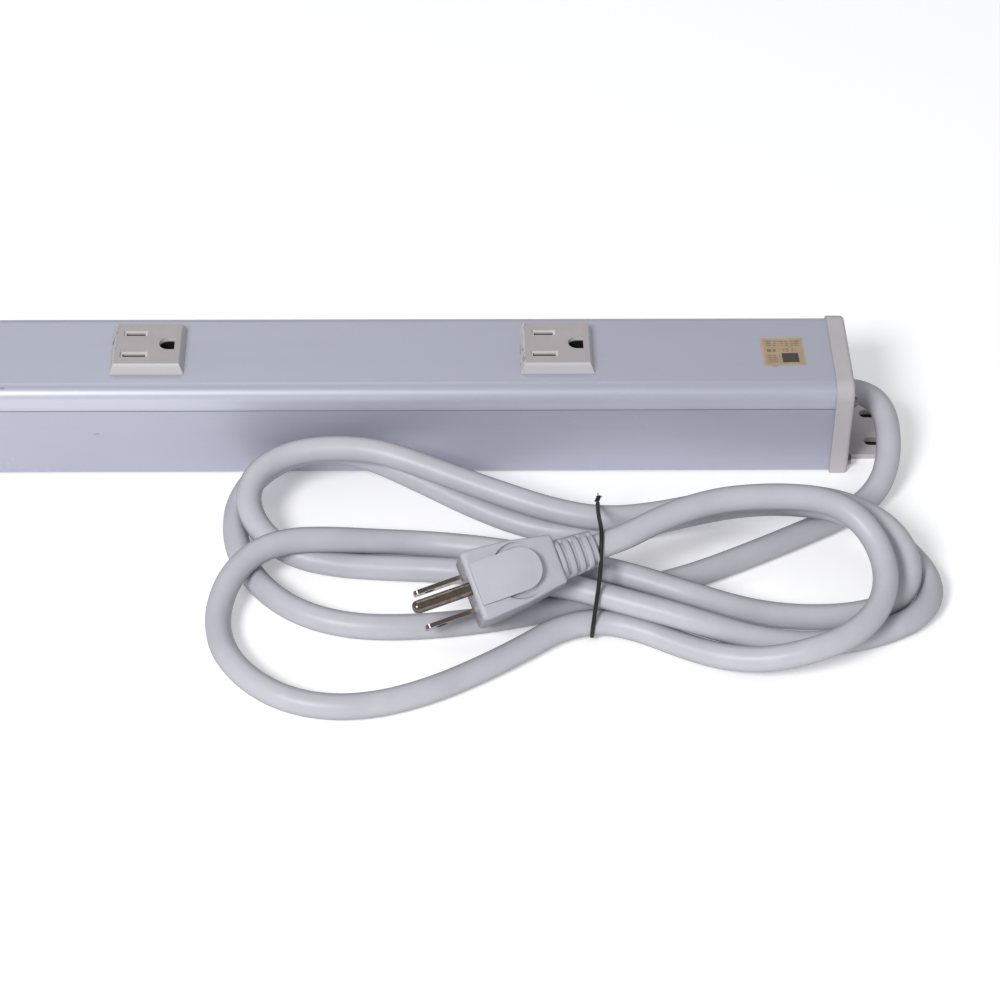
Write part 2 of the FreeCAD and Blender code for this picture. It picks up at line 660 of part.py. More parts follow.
def blade_contact(pole, number):
    """Folded spring contact for a blade, standing on its bus bar."""
    tag = "%s_contact_%d" % (pole, number + 1)
    middle = outlet_x(number) - s.blade_offset
    across = CROSSWISE[pole]
    low = HOUSING_LOW + s.housing_floor
    wide = s.contact_mouth + s.contact_leaf * 2
    outer = box(tag + "_outer", (s.contact_length, wide, s.contact_height),
                (middle - s.contact_length / 2, across - wide / 2, low))
    inner = box(tag + "_mouth", (s.contact_length * 2, s.contact_mouth, s.contact_height),
                (middle - s.contact_length, across - s.contact_mouth / 2, low + s.contact_leaf))
    stem = box(tag + "_stem", (s.stem_width, s.stem_width, low + s.contact_leaf - BUS_TOP),
               (middle - s.stem_width / 2, across - s.stem_width / 2, BUS_TOP))
    return fuse(tag, [cut(tag + "_clip", outer, inner), stem])


def ground_contact(number):
    """Tubular ground contact, standing on its bus bar."""
    tag = "ground_contact_%d" % (number + 1)
    middle = outlet_x(number) + s.ground_offset - s.blade_offset
    low = HOUSING_LOW + s.housing_floor
    outer = rod(tag + "_outer", s.ground_tube_radius, s.contact_height, (middle, 0, low))
    inner = rod(tag + "_mouth", s.ground_tube_radius - s.contact_leaf, s.contact_height,
                (middle, 0, low + s.contact_leaf))
    stem = box(tag + "_stem", (s.stem_width, s.stem_width, low + s.contact_leaf - BUS_TOP),
               (middle - s.stem_width / 2, -s.stem_width / 2, BUS_TOP))
    return fuse(tag, [cut(tag + "_tube", outer, inner), stem])


def bus_bar(pole):
    """Flat bar that joins the contacts of one pole."""
    reach = s.housing_length / 2 + s.assembly_clearance
    start = outlet_x(OUTLETS - 1) - reach
    across = CROSSWISE[pole] - s.bus_width / 2
    return box(pole + "_bus_bar", (outlet_x(0) + reach - start, s.bus_width, s.bus_thickness),
               (start, across, BUS_LOW))


def bus_spacers():
    """Insulating blocks that carry the bus bars, one under each outlet."""
    blocks = [box("bus_spacer_%d" % (number + 1),
                  (s.spacer_length, SPACER_HALF * 2, BUS_LOW - LINER_TOP),
                  (outlet_x(number) - s.spacer_length / 2, -SPACER_HALF, LINER_TOP))
              for number in range(OUTLETS)]
    return fuse("bus_spacers", blocks)


def insulating_liner():
    """Fibre sheet folded into a shallow tray on the floor of the channel."""
    length = (JOINT_X - s.cap_spigot_depth - s.assembly_clearance) * 2
    outer = box("liner_outer", (length, LINER_OUTER * 2, s.liner_rise),
                (-length / 2, -LINER_OUTER, CHANNEL_FLOOR))
    inner = box("liner_inner", (length + 2, LINER_INNER * 2, s.liner_rise),
                (-length / 2 - 1, -LINER_INNER, LINER_TOP))
    return cut("insulating_liner", outer, inner)


def cord_clamp():
    """Block that grips the cord behind the cap and stands on the liner."""
    half = CLAMP_HALF
    block = box("clamp_block", (s.clamp_length, half * 2, EXIT_Z + half - LINER_TOP),
                (CLAMP_X, -half, LINER_TOP))
    bore = rod("clamp_bore", s.cord_diameter / 2, s.clamp_length + 2,
               (CLAMP_X - 1, 0, EXIT_Z), "X")
    return cut("cord_clamp", block, bore)


def cord_inside():
    """Stretch of jacketed cord between the cap's face and the split into leads."""
    return rod("cord_inside", s.cord_diameter / 2, END_X - CORD_SPLIT_X,
               (CORD_SPLIT_X, 0, EXIT_Z), "X")


def rounded_path(points, share=0.45):
    """Straight runs joined by tangent arcs, each as large as its two runs allow."""
    pieces, radii = [], []
    start = points[0]
    for before, corner, after in zip(points, points[1:], points[2:]):
        to_corner, from_corner = corner - before, after - corner
        half_turn = to_corner.getAngle(from_corner) / 2
        shorter = min(to_corner.Length, from_corner.Length)
        reach = share * shorter
        radii.append(reach / math.tan(half_turn))
        entry = corner - FreeCAD.Vector(to_corner).normalize() * reach
        leave = corner + FreeCAD.Vector(from_corner).normalize() * reach
        inward = (entry + leave) * 0.5 - corner
        rise = radii[-1] / math.cos(half_turn) - radii[-1]
        crown = corner + FreeCAD.Vector(inward).normalize() * rise
        pieces.append(Part.LineSegment(start, entry).toShape())
        pieces.append(Part.Arc(entry, crown, leave).toShape())
        start = leave
    pieces.append(Part.LineSegment(start, points[-1]).toShape())
    return Part.Wire(pieces), radii


def tube(name, points, diameter):
    """Round tube along a rounded path, as one object."""
    path, radii = rounded_path(points)
    direction = points[1] - points[0]
    ring = Part.Wire(Part.Circle(points[0], direction, diameter / 2).toShape())
    shell = Part.BRepOffsetAPI.MakePipeShell(path)
    shell.setFrenetMode(True)
    shell.add(ring)
    shell.build()
    shell.makeSolid()
    solid = shell.shape()
    expected = math.pi * diameter ** 2 / 4 * path.Length
    if abs(solid.Volume - expected) > expected * 0.01:
        raise ValueError("%s has the wrong volume" % name)
    print("%s: length %.1f, radii %s" % (name, path.Length, ["%.1f" % r for r in radii]))
    piece = doc.addObject("Part::Feature", name)
    piece.Shape = solid
    piece.Placement = FreeCAD.Placement()
    return piece


def supply_lead(pole):
    """Insulated lead from the split of the cord down to the end of its bus bar."""
    across = float(CROSSWISE[pole])
    spread = float(s.cord_diameter) * 0.22
    beside = {"line": spread, "neutral": -spread, "ground": 0.0}[pole]
    above = -spread if pole != "ground" else spread
    split_x, exit_z = float(CORD_SPLIT_X), float(EXIT_Z)
    bar_end = float(outlet_x(0) + s.housing_length / 2 + s.assembly_clearance)
    bar_z = float(BUS_LOW) + float(s.bus_thickness) / 2
    gap = split_x - bar_end
    points = [FreeCAD.Vector(split_x, beside, exit_z + above),
              FreeCAD.Vector(split_x - gap * 0.25, beside * 1.2, exit_z + above - 0.3),
              FreeCAD.Vector(split_x - gap * 0.6, across * 0.9, (exit_z + bar_z) / 2),
              FreeCAD.Vector(split_x - gap * 0.8, across, bar_z + 0.8),
              FreeCAD.Vector(bar_end, across, bar_z)]
    return tube(pole + "_lead", points, float(s.lead_diameter))


def label():
    """Thin label on the cover near the cord end, a little crooked."""
    sticker = box("rating_label", (s.label_length, s.label_width, s.label_thickness), (0, 0, 0))
    sticker.Placement.Rotation = FreeCAD.Rotation(
        FreeCAD.Vector(0, 0, 1), float(s.label_turn))
    return place(sticker, END_X - s.label_inset - s.label_length / 2,
                 -s.label_width / 2 - 0.9, CASE_TOP)


def plug_placement():
    """Pose of the plug: origin at the middle of its face, blades along local X."""
    yaw, pitch, roll = PLUG_TURN
    base = FreeCAD.Vector(float(END_X) + PLUG_AT[0], -float(HALF_WIDTH) + PLUG_AT[1], PLUG_AT[2])
    return FreeCAD.Placement(base, FreeCAD.Rotation(yaw, pitch, roll))


BLADE_LEVEL = -s.ground_offset / 2
PIN_LEVEL = s.ground_offset / 2


def plug_body():
    """Moulded plug: straight rim, tapering body, raised tongue and seats for the pins."""
    owner = new_body("plug_body")
    front = sketch(owner, "plug_front", "YZ_Plane", -s.plug_flange)
    wide, high = s.plug_front_width / 2, s.plug_front_height / 2
    rectangle(front, (-wide, -high), (wide, high))
    rear = sketch(owner, "plug_rear", "YZ_Plane", -s.plug_length)
    narrow, low = s.plug_rear_width / 2, s.plug_rear_height / 2
    rectangle(rear, (-narrow, -low), (narrow, low))
    last = owner.newObject("PartDesign::AdditiveLoft", "plug_taper")
    last.Profile = front
    last.Sections = [rear]
    last.Ruled = True
    doc.recompute()
    rim = sketch(owner, "plug_rim_plan", "YZ_Plane", -s.plug_flange)
    rectangle(rim, (-wide, -high), (wide, high))
    last = pad(owner, "plug_rim", rim, s.plug_flange)
    last = soften(owner, "plug_edges", last,
                  lambda p: p.x < float(-s.plug_flange) + 0.01, s.plug_edge_radius)
    tongue = sketch(owner, "tongue_plan", "XY_Plane", high - 6)
    half = s.plug_pad_width / 2
    cut_in = half * 0.42
    outline(tongue, [(as_term(-0.8), -half), (as_term(-0.8), half),
                     (-s.plug_pad_length + half, half),
                     (-s.plug_pad_length + cut_in * 0.6, half - cut_in * 0.7),
                     (-s.plug_pad_length, half - cut_in * 1.6),
                     (-s.plug_pad_length, -half + cut_in * 1.6),
                     (-s.plug_pad_length + cut_in * 0.6, -half + cut_in * 0.7),
                     (-s.plug_pad_length + half, -half)])
    pad(owner, "plug_tongue", tongue, 6 + s.plug_pad_rise)
    seats = sketch(owner, "pin_seats_sketch", "YZ_Plane")
    thick = s.blade_thickness / 2
    for across, width in ((CROSSWISE["line"], s.line_blade_width),
                          (CROSSWISE["neutral"], s.neutral_blade_width)):
        rectangle(seats, (across - thick, BLADE_LEVEL - width / 2),
                  (across + thick, BLADE_LEVEL + width / 2))
    circle(seats, (as_term(0), PIN_LEVEL), s.ground_pin_radius)
    pocket(owner, "pin_seats", seats, s.blade_seat)
    owner.Placement = plug_placement()
    return owner


def plug_blade(pole, width):
    """Flat blade with a hole and a rounded tip, seated in the plug body."""
    owner = new_body("plug_%s_blade" % pole)
    across = CROSSWISE[pole]
    side = sketch(owner, pole + "_blade_side", "XZ_Plane", -across - s.blade_thickness / 2)
    rectangle(side, (-s.blade_seat, BLADE_LEVEL - width / 2),
              (s.blade_length, BLADE_LEVEL + width / 2))
    last = pad(owner, pole + "_blade_sheet", side, s.blade_thickness)
    soften(owner, pole + "_blade_tip", last, lambda p: near(p.x, s.blade_length)
           and near(abs(p.z - float(BLADE_LEVEL)), width / 2), s.blade_thickness, along="y")
    hole = sketch(owner, pole + "_blade_hole_sketch", "XZ_Plane")
    circle(hole, (s.blade_length * 0.68, BLADE_LEVEL), s.blade_hole_radius)
    pocket(owner, pole + "_blade_hole", hole, s.blade_spacing * 2, side="Symmetric")
    owner.Placement = plug_placement()
    return owner


def plug_ground_pin():
    """Round ground pin with a domed tip, seated in the plug body."""
    owner = new_body("plug_ground_pin")
    end = sketch(owner, "ground_pin_section", "YZ_Plane", -s.blade_seat)
    circle(end, (as_term(0), PIN_LEVEL), s.ground_pin_radius)
    last = pad(owner, "ground_pin_length", end, s.blade_seat + s.ground_pin_length)
    dome = owner.newObject("PartDesign::Fillet", "ground_pin_dome")
    tip = max(range(len(last.Shape.Edges)), key=lambda n: last.Shape.Edges[n].BoundBox.XMin)
    dome.Base = (last, ["Edge%d" % (tip + 1)])
    bind(dome, "Radius", s.ground_pin_radius * 0.8)
    doc.recompute()
    owner.Placement = plug_placement()
    return owner


def plug_strain_relief():
    """Ribbed tapering sleeve turned round the cord behind the plug."""
    owner = new_body("plug_strain_relief")
    profile = sketch(owner, "relief_profile", "XZ_Plane")
    start = -s.plug_length
    front, rear = s.relief_front_radius, s.relief_rear_radius
    points = [(start, as_term(0)), (start, front)]
    ribs = 4
    for rib in range(ribs):
        share = (rib + 0.5) / ribs
        radius = front - (front - rear) * share
        near_x = start - s.relief_length * (share - 0.07)
        far_x = start - s.relief_length * (share + 0.07)
        points += [(near_x, radius), (near_x, radius - s.relief_groove),
                   (far_x, radius - s.relief_groove), (far_x, radius)]
    points += [(start - s.relief_length, rear), (start - s.relief_length, as_term(0))]
    outline(profile, points)
    spin = owner.newObject("PartDesign::Revolution", "relief_turned")
    spin.Profile = profile
    spin.ReferenceAxis = (profile, ["H_Axis"])
    spin.Angle = 360
    doc.recompute()
    owner.Placement = plug_placement()
    return owner


def hank_point(dx, dy):
    """Terms for a place on the hank, from the cap's face and the case front."""
    return (END_X + dx, dy - HALF_WIDTH)


def cord_hank():
    """Outer shape of the tied figure-eight of cord, with the stub that enters the plug."""
    owner = new_body("hank_turns")
    plan = sketch(owner, "hank_plan", "XY_Plane")
    outline(plan, [hank_point(*point) for point in HANK_OUTLINE])
    pad(owner, "hank_low", plan, s.hank_low_height)
    high = sketch(owner, "hank_high_plan", "XY_Plane")
    outline(high, [hank_point(*point) for point in HANK_HIGH])
    pad(owner, "hank_high", high, s.hank_high_height)
    for number, window in enumerate(HANK_WINDOWS):
        hole = sketch(owner, "hank_window_plan_%d" % number, "XY_Plane")
        outline(hole, [hank_point(*point) for point in window])
        pocket(owner, "hank_window_%d" % number, hole, reverse=True)
    end = plug_placement()
    back = -float(s.plug_length + s.relief_length)
    start = end.multVec(FreeCAD.Vector(back, 0, 0))
    inner = end.multVec(FreeCAD.Vector(back - 12, 0, 0))
    drop = FreeCAD.Vector(inner.x + 9, inner.y + 1, float(s.hank_high_height) - 4)
    stub = tube("hank_plug_stub", [start, inner, drop], float(s.cord_diameter))
    groove = box("hank_tie_groove", (9, s.case_width * 2, 2.4),
                 (END_X - 103, -HALF_WIDTH - 100, 0))
    return fuse("cord_hank", [cut("hank_grooved", owner, groove), stub])


def route_vectors(points, origin):
    """Route points moved to their origin."""
    return [FreeCAD.Vector(*point) + origin for point in points]


def free_cord():
    """Cord from the cap's face down to the hank, as its free stretch lies."""
    origin = FreeCAD.Vector(float(END_X), 0, float(EXIT_Z))
    return tube("cord_tube", route_vectors(EXIT_ROUTE, origin), float(s.cord_diameter))


def twist_tie():
    """Wire tie bent once round the waist of the hank."""
    origin = FreeCAD.Vector(float(END_X), -float(HALF_WIDTH), 0)
    return tube("twist_tie", route_vectors(TIE_ROUTE, origin), float(s.tie_diameter))


def build():
    """Every sub-part, in the order of assembly."""
    pieces = [base_channel(), insulating_liner(), bus_spacers()]
    pieces += [bus_bar(pole) for pole in CROSSWISE]
    for number in range(OUTLETS):
        pieces += [outlet_housing(number), outlet_face(number), ground_contact(number)]
        pieces += [blade_contact(pole, number) for pole in ("line", "neutral")]
    pieces += [top_cover(), label(), cord_clamp(), cord_inside()]
    pieces += [supply_lead(pole) for pole in CROSSWISE]
    for end in ("cord", "plain"):
        pieces += [end_cap(end), cap_screws(end)]
    pieces += [free_cord(), cord_hank(), twist_tie(), plug_strain_relief(), plug_body()]
    pieces += [plug_blade("line", s.line_blade_width),
               plug_blade("neutral", s.neutral_blade_width), plug_ground_pin()]
    return pieces


def check(pieces):
    """Stop if any object failed or any sub-part is empty or invalid."""
    doc.recompute()
    for item in doc.Objects:
        if {"Invalid", "Error"} & set(item.State):
            raise ValueError("%s failed: %s" % (item.Name, item.State))
    for piece in pieces:
        if piece.Shape.isNull() or not piece.Shape.isValid() or not piece.Shape.Solids:
            raise ValueError("%s has no valid solid" % piece.Name)


def write(pieces):
    """Write each sub-part to its own file."""
    os.makedirs("parts", exist_ok=True)
    for piece in pieces:
        piece.Label = piece.Name
        piece.Shape.exportStep(os.path.join("parts", piece.Label + ".step"))


PIECES = build()
check(PIECES)
write(PIECES)
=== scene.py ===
"""Dressed model of a metal-cased power strip with its supply cord tied in a hank.

Metres, +Z up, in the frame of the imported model. The case lies along X, the cord leaves
its +X end, crosses itself in a tied figure-eight and ends in a moulded three-pin plug.
"""

import logging
import math
from dataclasses import dataclass, field
from enum import Enum
from typing import Callable, Mapping, Sequence, Union

import bmesh
import bpy
from mathutils import Matrix, Vector


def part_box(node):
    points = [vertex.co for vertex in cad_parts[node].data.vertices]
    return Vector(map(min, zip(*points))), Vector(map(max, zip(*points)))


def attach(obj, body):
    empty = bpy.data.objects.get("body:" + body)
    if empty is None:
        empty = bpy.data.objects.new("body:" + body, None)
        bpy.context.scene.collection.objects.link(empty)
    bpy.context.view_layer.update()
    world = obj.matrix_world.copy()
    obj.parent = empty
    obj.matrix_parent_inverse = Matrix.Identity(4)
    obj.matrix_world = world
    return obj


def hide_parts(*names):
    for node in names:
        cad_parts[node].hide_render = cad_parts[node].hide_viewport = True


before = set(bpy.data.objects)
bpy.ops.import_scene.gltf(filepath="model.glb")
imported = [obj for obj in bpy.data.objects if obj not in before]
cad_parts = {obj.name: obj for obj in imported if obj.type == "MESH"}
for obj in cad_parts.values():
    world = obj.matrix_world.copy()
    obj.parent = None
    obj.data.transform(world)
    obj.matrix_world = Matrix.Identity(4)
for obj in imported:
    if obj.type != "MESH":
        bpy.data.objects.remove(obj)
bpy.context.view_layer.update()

log = logging.getLogger("power_strip")

Point = tuple[float, float, float]
Colour = tuple[float, float, float]
Number = Union[int, float, "Signal"]
MM = 0.001


def metres(point: Sequence[float]) -> Point:
    """Give a point written in millimetres in metres."""
    return tuple(value * MM for value in point)


# ---------------------------------------------------------------- shader building


class Signal:
    """Number travelling between shader nodes, with arithmetic on it."""

    def __init__(self, board: "Board", socket: bpy.types.NodeSocket) -> None:
        """Keep the board and the socket that gives the number."""
        self.board = board
        self.socket = socket

    def __add__(self, other: Number) -> "Signal":
        """Add."""
        return self.board.math("ADD", self, other)

    __radd__ = __add__

    def __sub__(self, other: Number) -> "Signal":
        """Subtract."""
        return self.board.math("SUBTRACT", self, other)

    def __rsub__(self, other: Number) -> "Signal":
        """Subtract from a number."""
        return self.board.math("SUBTRACT", other, self)

    def __mul__(self, other: Number) -> "Signal":
        """Multiply."""
        return self.board.math("MULTIPLY", self, other)

    __rmul__ = __mul__

    def __pow__(self, other: Number) -> "Signal":
        """Raise to a power."""
        return self.board.math("POWER", self, other)

    def __abs__(self) -> "Signal":
        """Drop the sign."""
        return self.board.math("ABSOLUTE", self)

    def fade(self, low: float, high: float) -> "Signal":
        """Go smoothly from 0 at low to 1 at high.

        Args:
            low: Value where the result is still 0.
            high: Value where the result becomes 1.

        Returns:
            The faded signal.
        """
        node = self.board.place(
            "ShaderNodeMapRange",
            {"interpolation_type": "SMOOTHSTEP"},
            {"Value": self, "From Min": low, "From Max": high})
        return Signal(self.board, node.outputs[0])

    def under(self, edge: float, soft: float) -> "Signal":
        """Give 1 where the signal is under an edge, softened over a width."""
        return 1.0 - self.fade(edge - soft, edge + soft)


class Board:
    """Node tree of one material round a Principled shader."""

    def __init__(self, name: str) -> None:
        """Make the material with its shader and its output."""
        self.material = bpy.data.materials.new(name)
        self.material.use_nodes = True
        self.tree = self.material.node_tree
        self.tree.nodes.clear()
        self.shader = self.place("ShaderNodeBsdfPrincipled")
        output = self.place("ShaderNodeOutputMaterial")
        self.tree.links.new(self.shader.outputs[0], output.inputs[0])
        self.coords = self.place("ShaderNodeTexCoord")

    def place(self, kind: str, settings: Mapping[str, object] | None = None,
              feeds: Mapping[Union[str, int], object] | None = None) -> bpy.types.Node:
        """Add a node of any type.

        Args:
            kind: Type name of the node.
            settings: Its own settings, set first; "stops" gives a ramp's stops.
            feeds: Values or links of its sockets, by name or number.

        Returns:
            The new node.
        """
        node = self.tree.nodes.new(kind)
        for name, value in (settings or {}).items():
            if name == "stops":
                ramp = node.color_ramp
                while len(ramp.elements) < len(value):
                    ramp.elements.new(1.0)
                for element, (spot, colour) in zip(ramp.elements, value):
                    element.position = spot
                    element.color = (*colour, 1.0)
            else:
                setattr(node, name, value)
        for key, value in (feeds or {}).items():
            self.feed(node.inputs[key], value)
        return node

    def feed(self, socket: bpy.types.NodeSocket, value: object) -> None:
        """Link or set one socket.

        Args:
            socket: Socket to fill.
            value: Signal, output socket, colour, vector or number.
        """
        if isinstance(value, Signal):
            self.tree.links.new(value.socket, socket)
        elif isinstance(value, bpy.types.NodeSocket):
            self.tree.links.new(value, socket)
        elif isinstance(value, tuple) and socket.type == "RGBA":
            socket.default_value = (*value, 1.0)[:4]
        else:
            socket.default_value = value

    def math(self, operation: str, first: Number, second: Number = 0.0) -> Signal:
        """Add one Math node.

        Args:
            operation: Name of the operation.
            first: First number or signal.
            second: Second number or signal.

        Returns:
            The result.
        """
        node = self.place("ShaderNodeMath", {"operation": operation}, {0: first, 1: second})
        return Signal(self, node.outputs[0])

    def larger(self, first: Number, second: Number) -> Signal:
        """Give the larger of two signals."""
        return self.math("MAXIMUM", first, second)

    def smaller(self, first: Number, second: Number) -> Signal:
        """Give the smaller of two signals."""
        return self.math("MINIMUM", first, second)

    def rim(self, power: float) -> Signal:
        """Give the share by which the surface turns away, sharpened by a power."""
        node = self.place("ShaderNodeLayerWeight", None, {"Blend": 0.5})
        return Signal(self, node.outputs["Facing"]) ** power

    def spot(self, centre: Point = (0.0, 0.0, 0.0),
             turn: float = 0.0) -> tuple[Signal, Signal, Signal]:
        """Split the place on the piece into x, y and z.

        Args:
            centre: Point that becomes the origin.
            turn: Turn about Z, in radians, taken out of the coordinates.

        Returns:
            The three coordinates, in metres.
        """
        moved = self.place("ShaderNodeVectorMath", {"operation": "SUBTRACT"},
                           {0: self.coords.outputs["Object"], 1: centre})
        turned = self.place("ShaderNodeMapping", {"vector_type": "POINT"},
                            {"Vector": moved.outputs[0], "Rotation": (0.0, 0.0, -turn)})
        parts = self.place("ShaderNodeSeparateXYZ", None, {0: turned.outputs[0]})
        return tuple(Signal(self, output) for output in parts.outputs)

    def noise(self, stretch: Point, detail: float = 3.0, rough: float = 0.5,
              shift: Point = (0.0, 0.0, 0.0), turn: Point = (0.0, 0.0, 0.0)) -> Signal:
        """Cloudy noise on object coordinates.

        Args:
            stretch: Cycles per metre along X, Y and Z.
            detail: Octaves of detail.
            rough: Strength of the fine octaves.
            shift: Move of the pattern.
            turn: Turn of the pattern, in radians.

        Returns:
            Noise from 0 to 1, mostly near a half.
        """
        turned = self.place("ShaderNodeMapping", {"vector_type": "POINT"},
                            {"Vector": self.coords.outputs["Object"], "Rotation": turn,
                             "Location": shift})
        sized = self.place("ShaderNodeVectorMath", {"operation": "MULTIPLY"},
                           {0: turned.outputs[0], 1: stretch})
        node = self.place("ShaderNodeTexNoise", None,
                          {"Vector": sized.outputs[0], "Scale": 1.0, "Detail": detail,
                           "Roughness": rough})
        return Signal(self, node.outputs[0])

    def cells(self, stretch: Point) -> Signal:
        """Distance to the nearest of many scattered points.

        Args:
            stretch: Cells per metre along X, Y and Z.

        Returns:
            The distance, in cells.
        """
        sized = self.place("ShaderNodeVectorMath", {"operation": "MULTIPLY"},
                           {0: self.coords.outputs["Object"], 1: stretch})
        node = self.place("ShaderNodeTexVoronoi", {"feature": "F1"},
                          {"Vector": sized.outputs[0], "Scale": 1.0})
        return Signal(self, node.outputs[0])

    def blend(self, factor: Number, first: object, second: object) -> bpy.types.NodeSocket:
        """Mix two colours.

        Args:
            factor: Share of the second colour.
            first: First colour or its socket.
            second: Second colour or its socket.

        Returns:
            Socket of the mixed colour.
        """
        node = self.place("ShaderNodeMix", {"data_type": "RGBA", "clamp_factor": True},
                          {0: factor, 6: first, 7: second})
        return node.outputs[2]

    def relief(self, height: Signal, depth: float) -> None:
        """Let a height signal dent the surface.

        Args:
            height: Signal from 0 to 1.
            depth: Real depth of a full step, in metres.
        """
        bump = self.place("ShaderNodeBump", None,
                          {"Strength": 1.0, "Distance": depth, "Height": height})
        self.feed(self.shader.inputs["Normal"], bump.outputs[0])

    def finish(self, **sockets: object) -> bpy.types.Material:
        """Fill the shader's sockets and hand over the material.

        Args:
            **sockets: Socket names with underscores for spaces, and their values.

        Returns:
            The finished material.
        """
        for name, value in sockets.items():
            self.feed(self.shader.inputs[name.replace("_", " ")], value)
        return self.material


# ---------------------------------------------------------------- finishes


@dataclass(frozen=True)
class SatinCase:
    """Satin painted aluminium extrusion with draw lines along X, small knocks and a painted
    highlight band on the shoulder.
    """

    name: str
    tint: Colour = (0.46, 0.475, 0.56)
    gloss: float = 0.36

    def make(self) -> bpy.types.Material:
        """Build the material."""
        board = Board(self.name)
        drawn = board.noise((5.0, 900.0, 900.0), 2.0, 0.6)
        broad = board.noise((1.5, 150.0, 150.0), 2.0, 0.5, (0.3, 0.1, 0.0))
        cloud = board.noise((9.0, 30.0, 30.0), 4.0, 0.6)
        grain = board.noise((3200.0, 3200.0, 3200.0), 1.0, 0.5)
        hair_a = board.noise((1400.0, 26.0, 26.0), 1.0, 0.4, (0.0, 0.0, 0.0), (0.1, 0.2, 0.5))
        hair_b = board.noise((26.0, 1700.0, 700.0), 1.0, 0.4, (0.7, 0.2, 0.1), (0.3, 0.0, -0.4))
        rare = board.noise((24.0, 60.0, 60.0), 1.0, 0.5, (2.0, 1.0, 0.0)).fade(0.60, 0.68)
        scratch = board.larger(hair_a.fade(0.71, 0.76), hair_b.fade(0.70, 0.75)) * rare
        nick = board.cells((30.0, 70.0, 70.0)).under(0.035, 0.012)
        handled = cloud.fade(0.45, 0.75)
        base = board.blend(handled * 0.35, self.tint, tuple(v * 0.9 for v in self.tint))
        base = board.blend(drawn.fade(0.35, 0.7) * 0.06, base, (0.55, 0.55, 0.60))
        _, _, z = board.spot()
        # Painted highlight: a lighter band on the shoulder between the seam and the top fillet,
        # standing in for the light that falls there.
        painted_shoulder_highlight = z.fade(0.0295, 0.0325) * (1.0 - z.fade(0.0350, 0.0385))
        base = board.blend(painted_shoulder_highlight * 0.45, base, (0.66, 0.68, 0.76))
        base = board.blend(nick * 0.5, base, (0.2, 0.2, 0.22))
        base = board.blend(scratch * 0.3, base, (0.60, 0.60, 0.64))
        height = drawn * 0.2 + broad * 0.3 + grain * 0.2 - scratch * 1.1 - nick * 2.5
        board.relief(height, 0.000012)
        rough = self.gloss + drawn * 0.06 + handled * 0.05 - scratch * 0.05
        return board.finish(Base_Color=base, Metallic=0.35, Roughness=rough,
                            Specular_IOR_Level=0.5)


@dataclass(frozen=True)
class MouldedPlastic:
    """Hard moulded plastic with a fine spark grain, rubbed patches, settled dust and painted shade
    where it turns away from view.
    """

    name: str
    tint: Colour
    gloss: float = 0.42
    dust: float = 0.25
    grime: Colour = (0.23, 0.19, 0.15)

    def make(self) -> bpy.types.Material:
        """Build the material."""
        board = Board(self.name)
        grain = board.noise((2400.0, 2400.0, 2400.0), 2.0, 0.55)
        cloud = board.noise((55.0, 55.0, 55.0), 4.0, 0.6)
        specks = board.cells((420.0, 420.0, 420.0)).under(0.12, 0.05)
        sparse = board.noise((90.0, 90.0, 90.0), 2.0, 0.5, (0.2, 0.4, 0.1)).fade(0.58, 0.66)
        paler = tuple(min(1.0, value * 1.08) for value in self.tint)
        base = board.blend(cloud.fade(0.35, 0.7) * 0.6, self.tint, paler)
        base = board.blend(specks * sparse * self.dust * 1.6, base, self.grime)
        # Painted shade: the colour darkens where the surface turns away from view.
        base = board.blend(board.rim(3.0) * 0.6, base, tuple(value * 0.3 for value in self.tint))
        board.relief(grain + specks * sparse * 0.6, 0.000014)
        rough = self.gloss + grain * 0.08 + cloud * 0.06
        return board.finish(Base_Color=base, Roughness=rough)


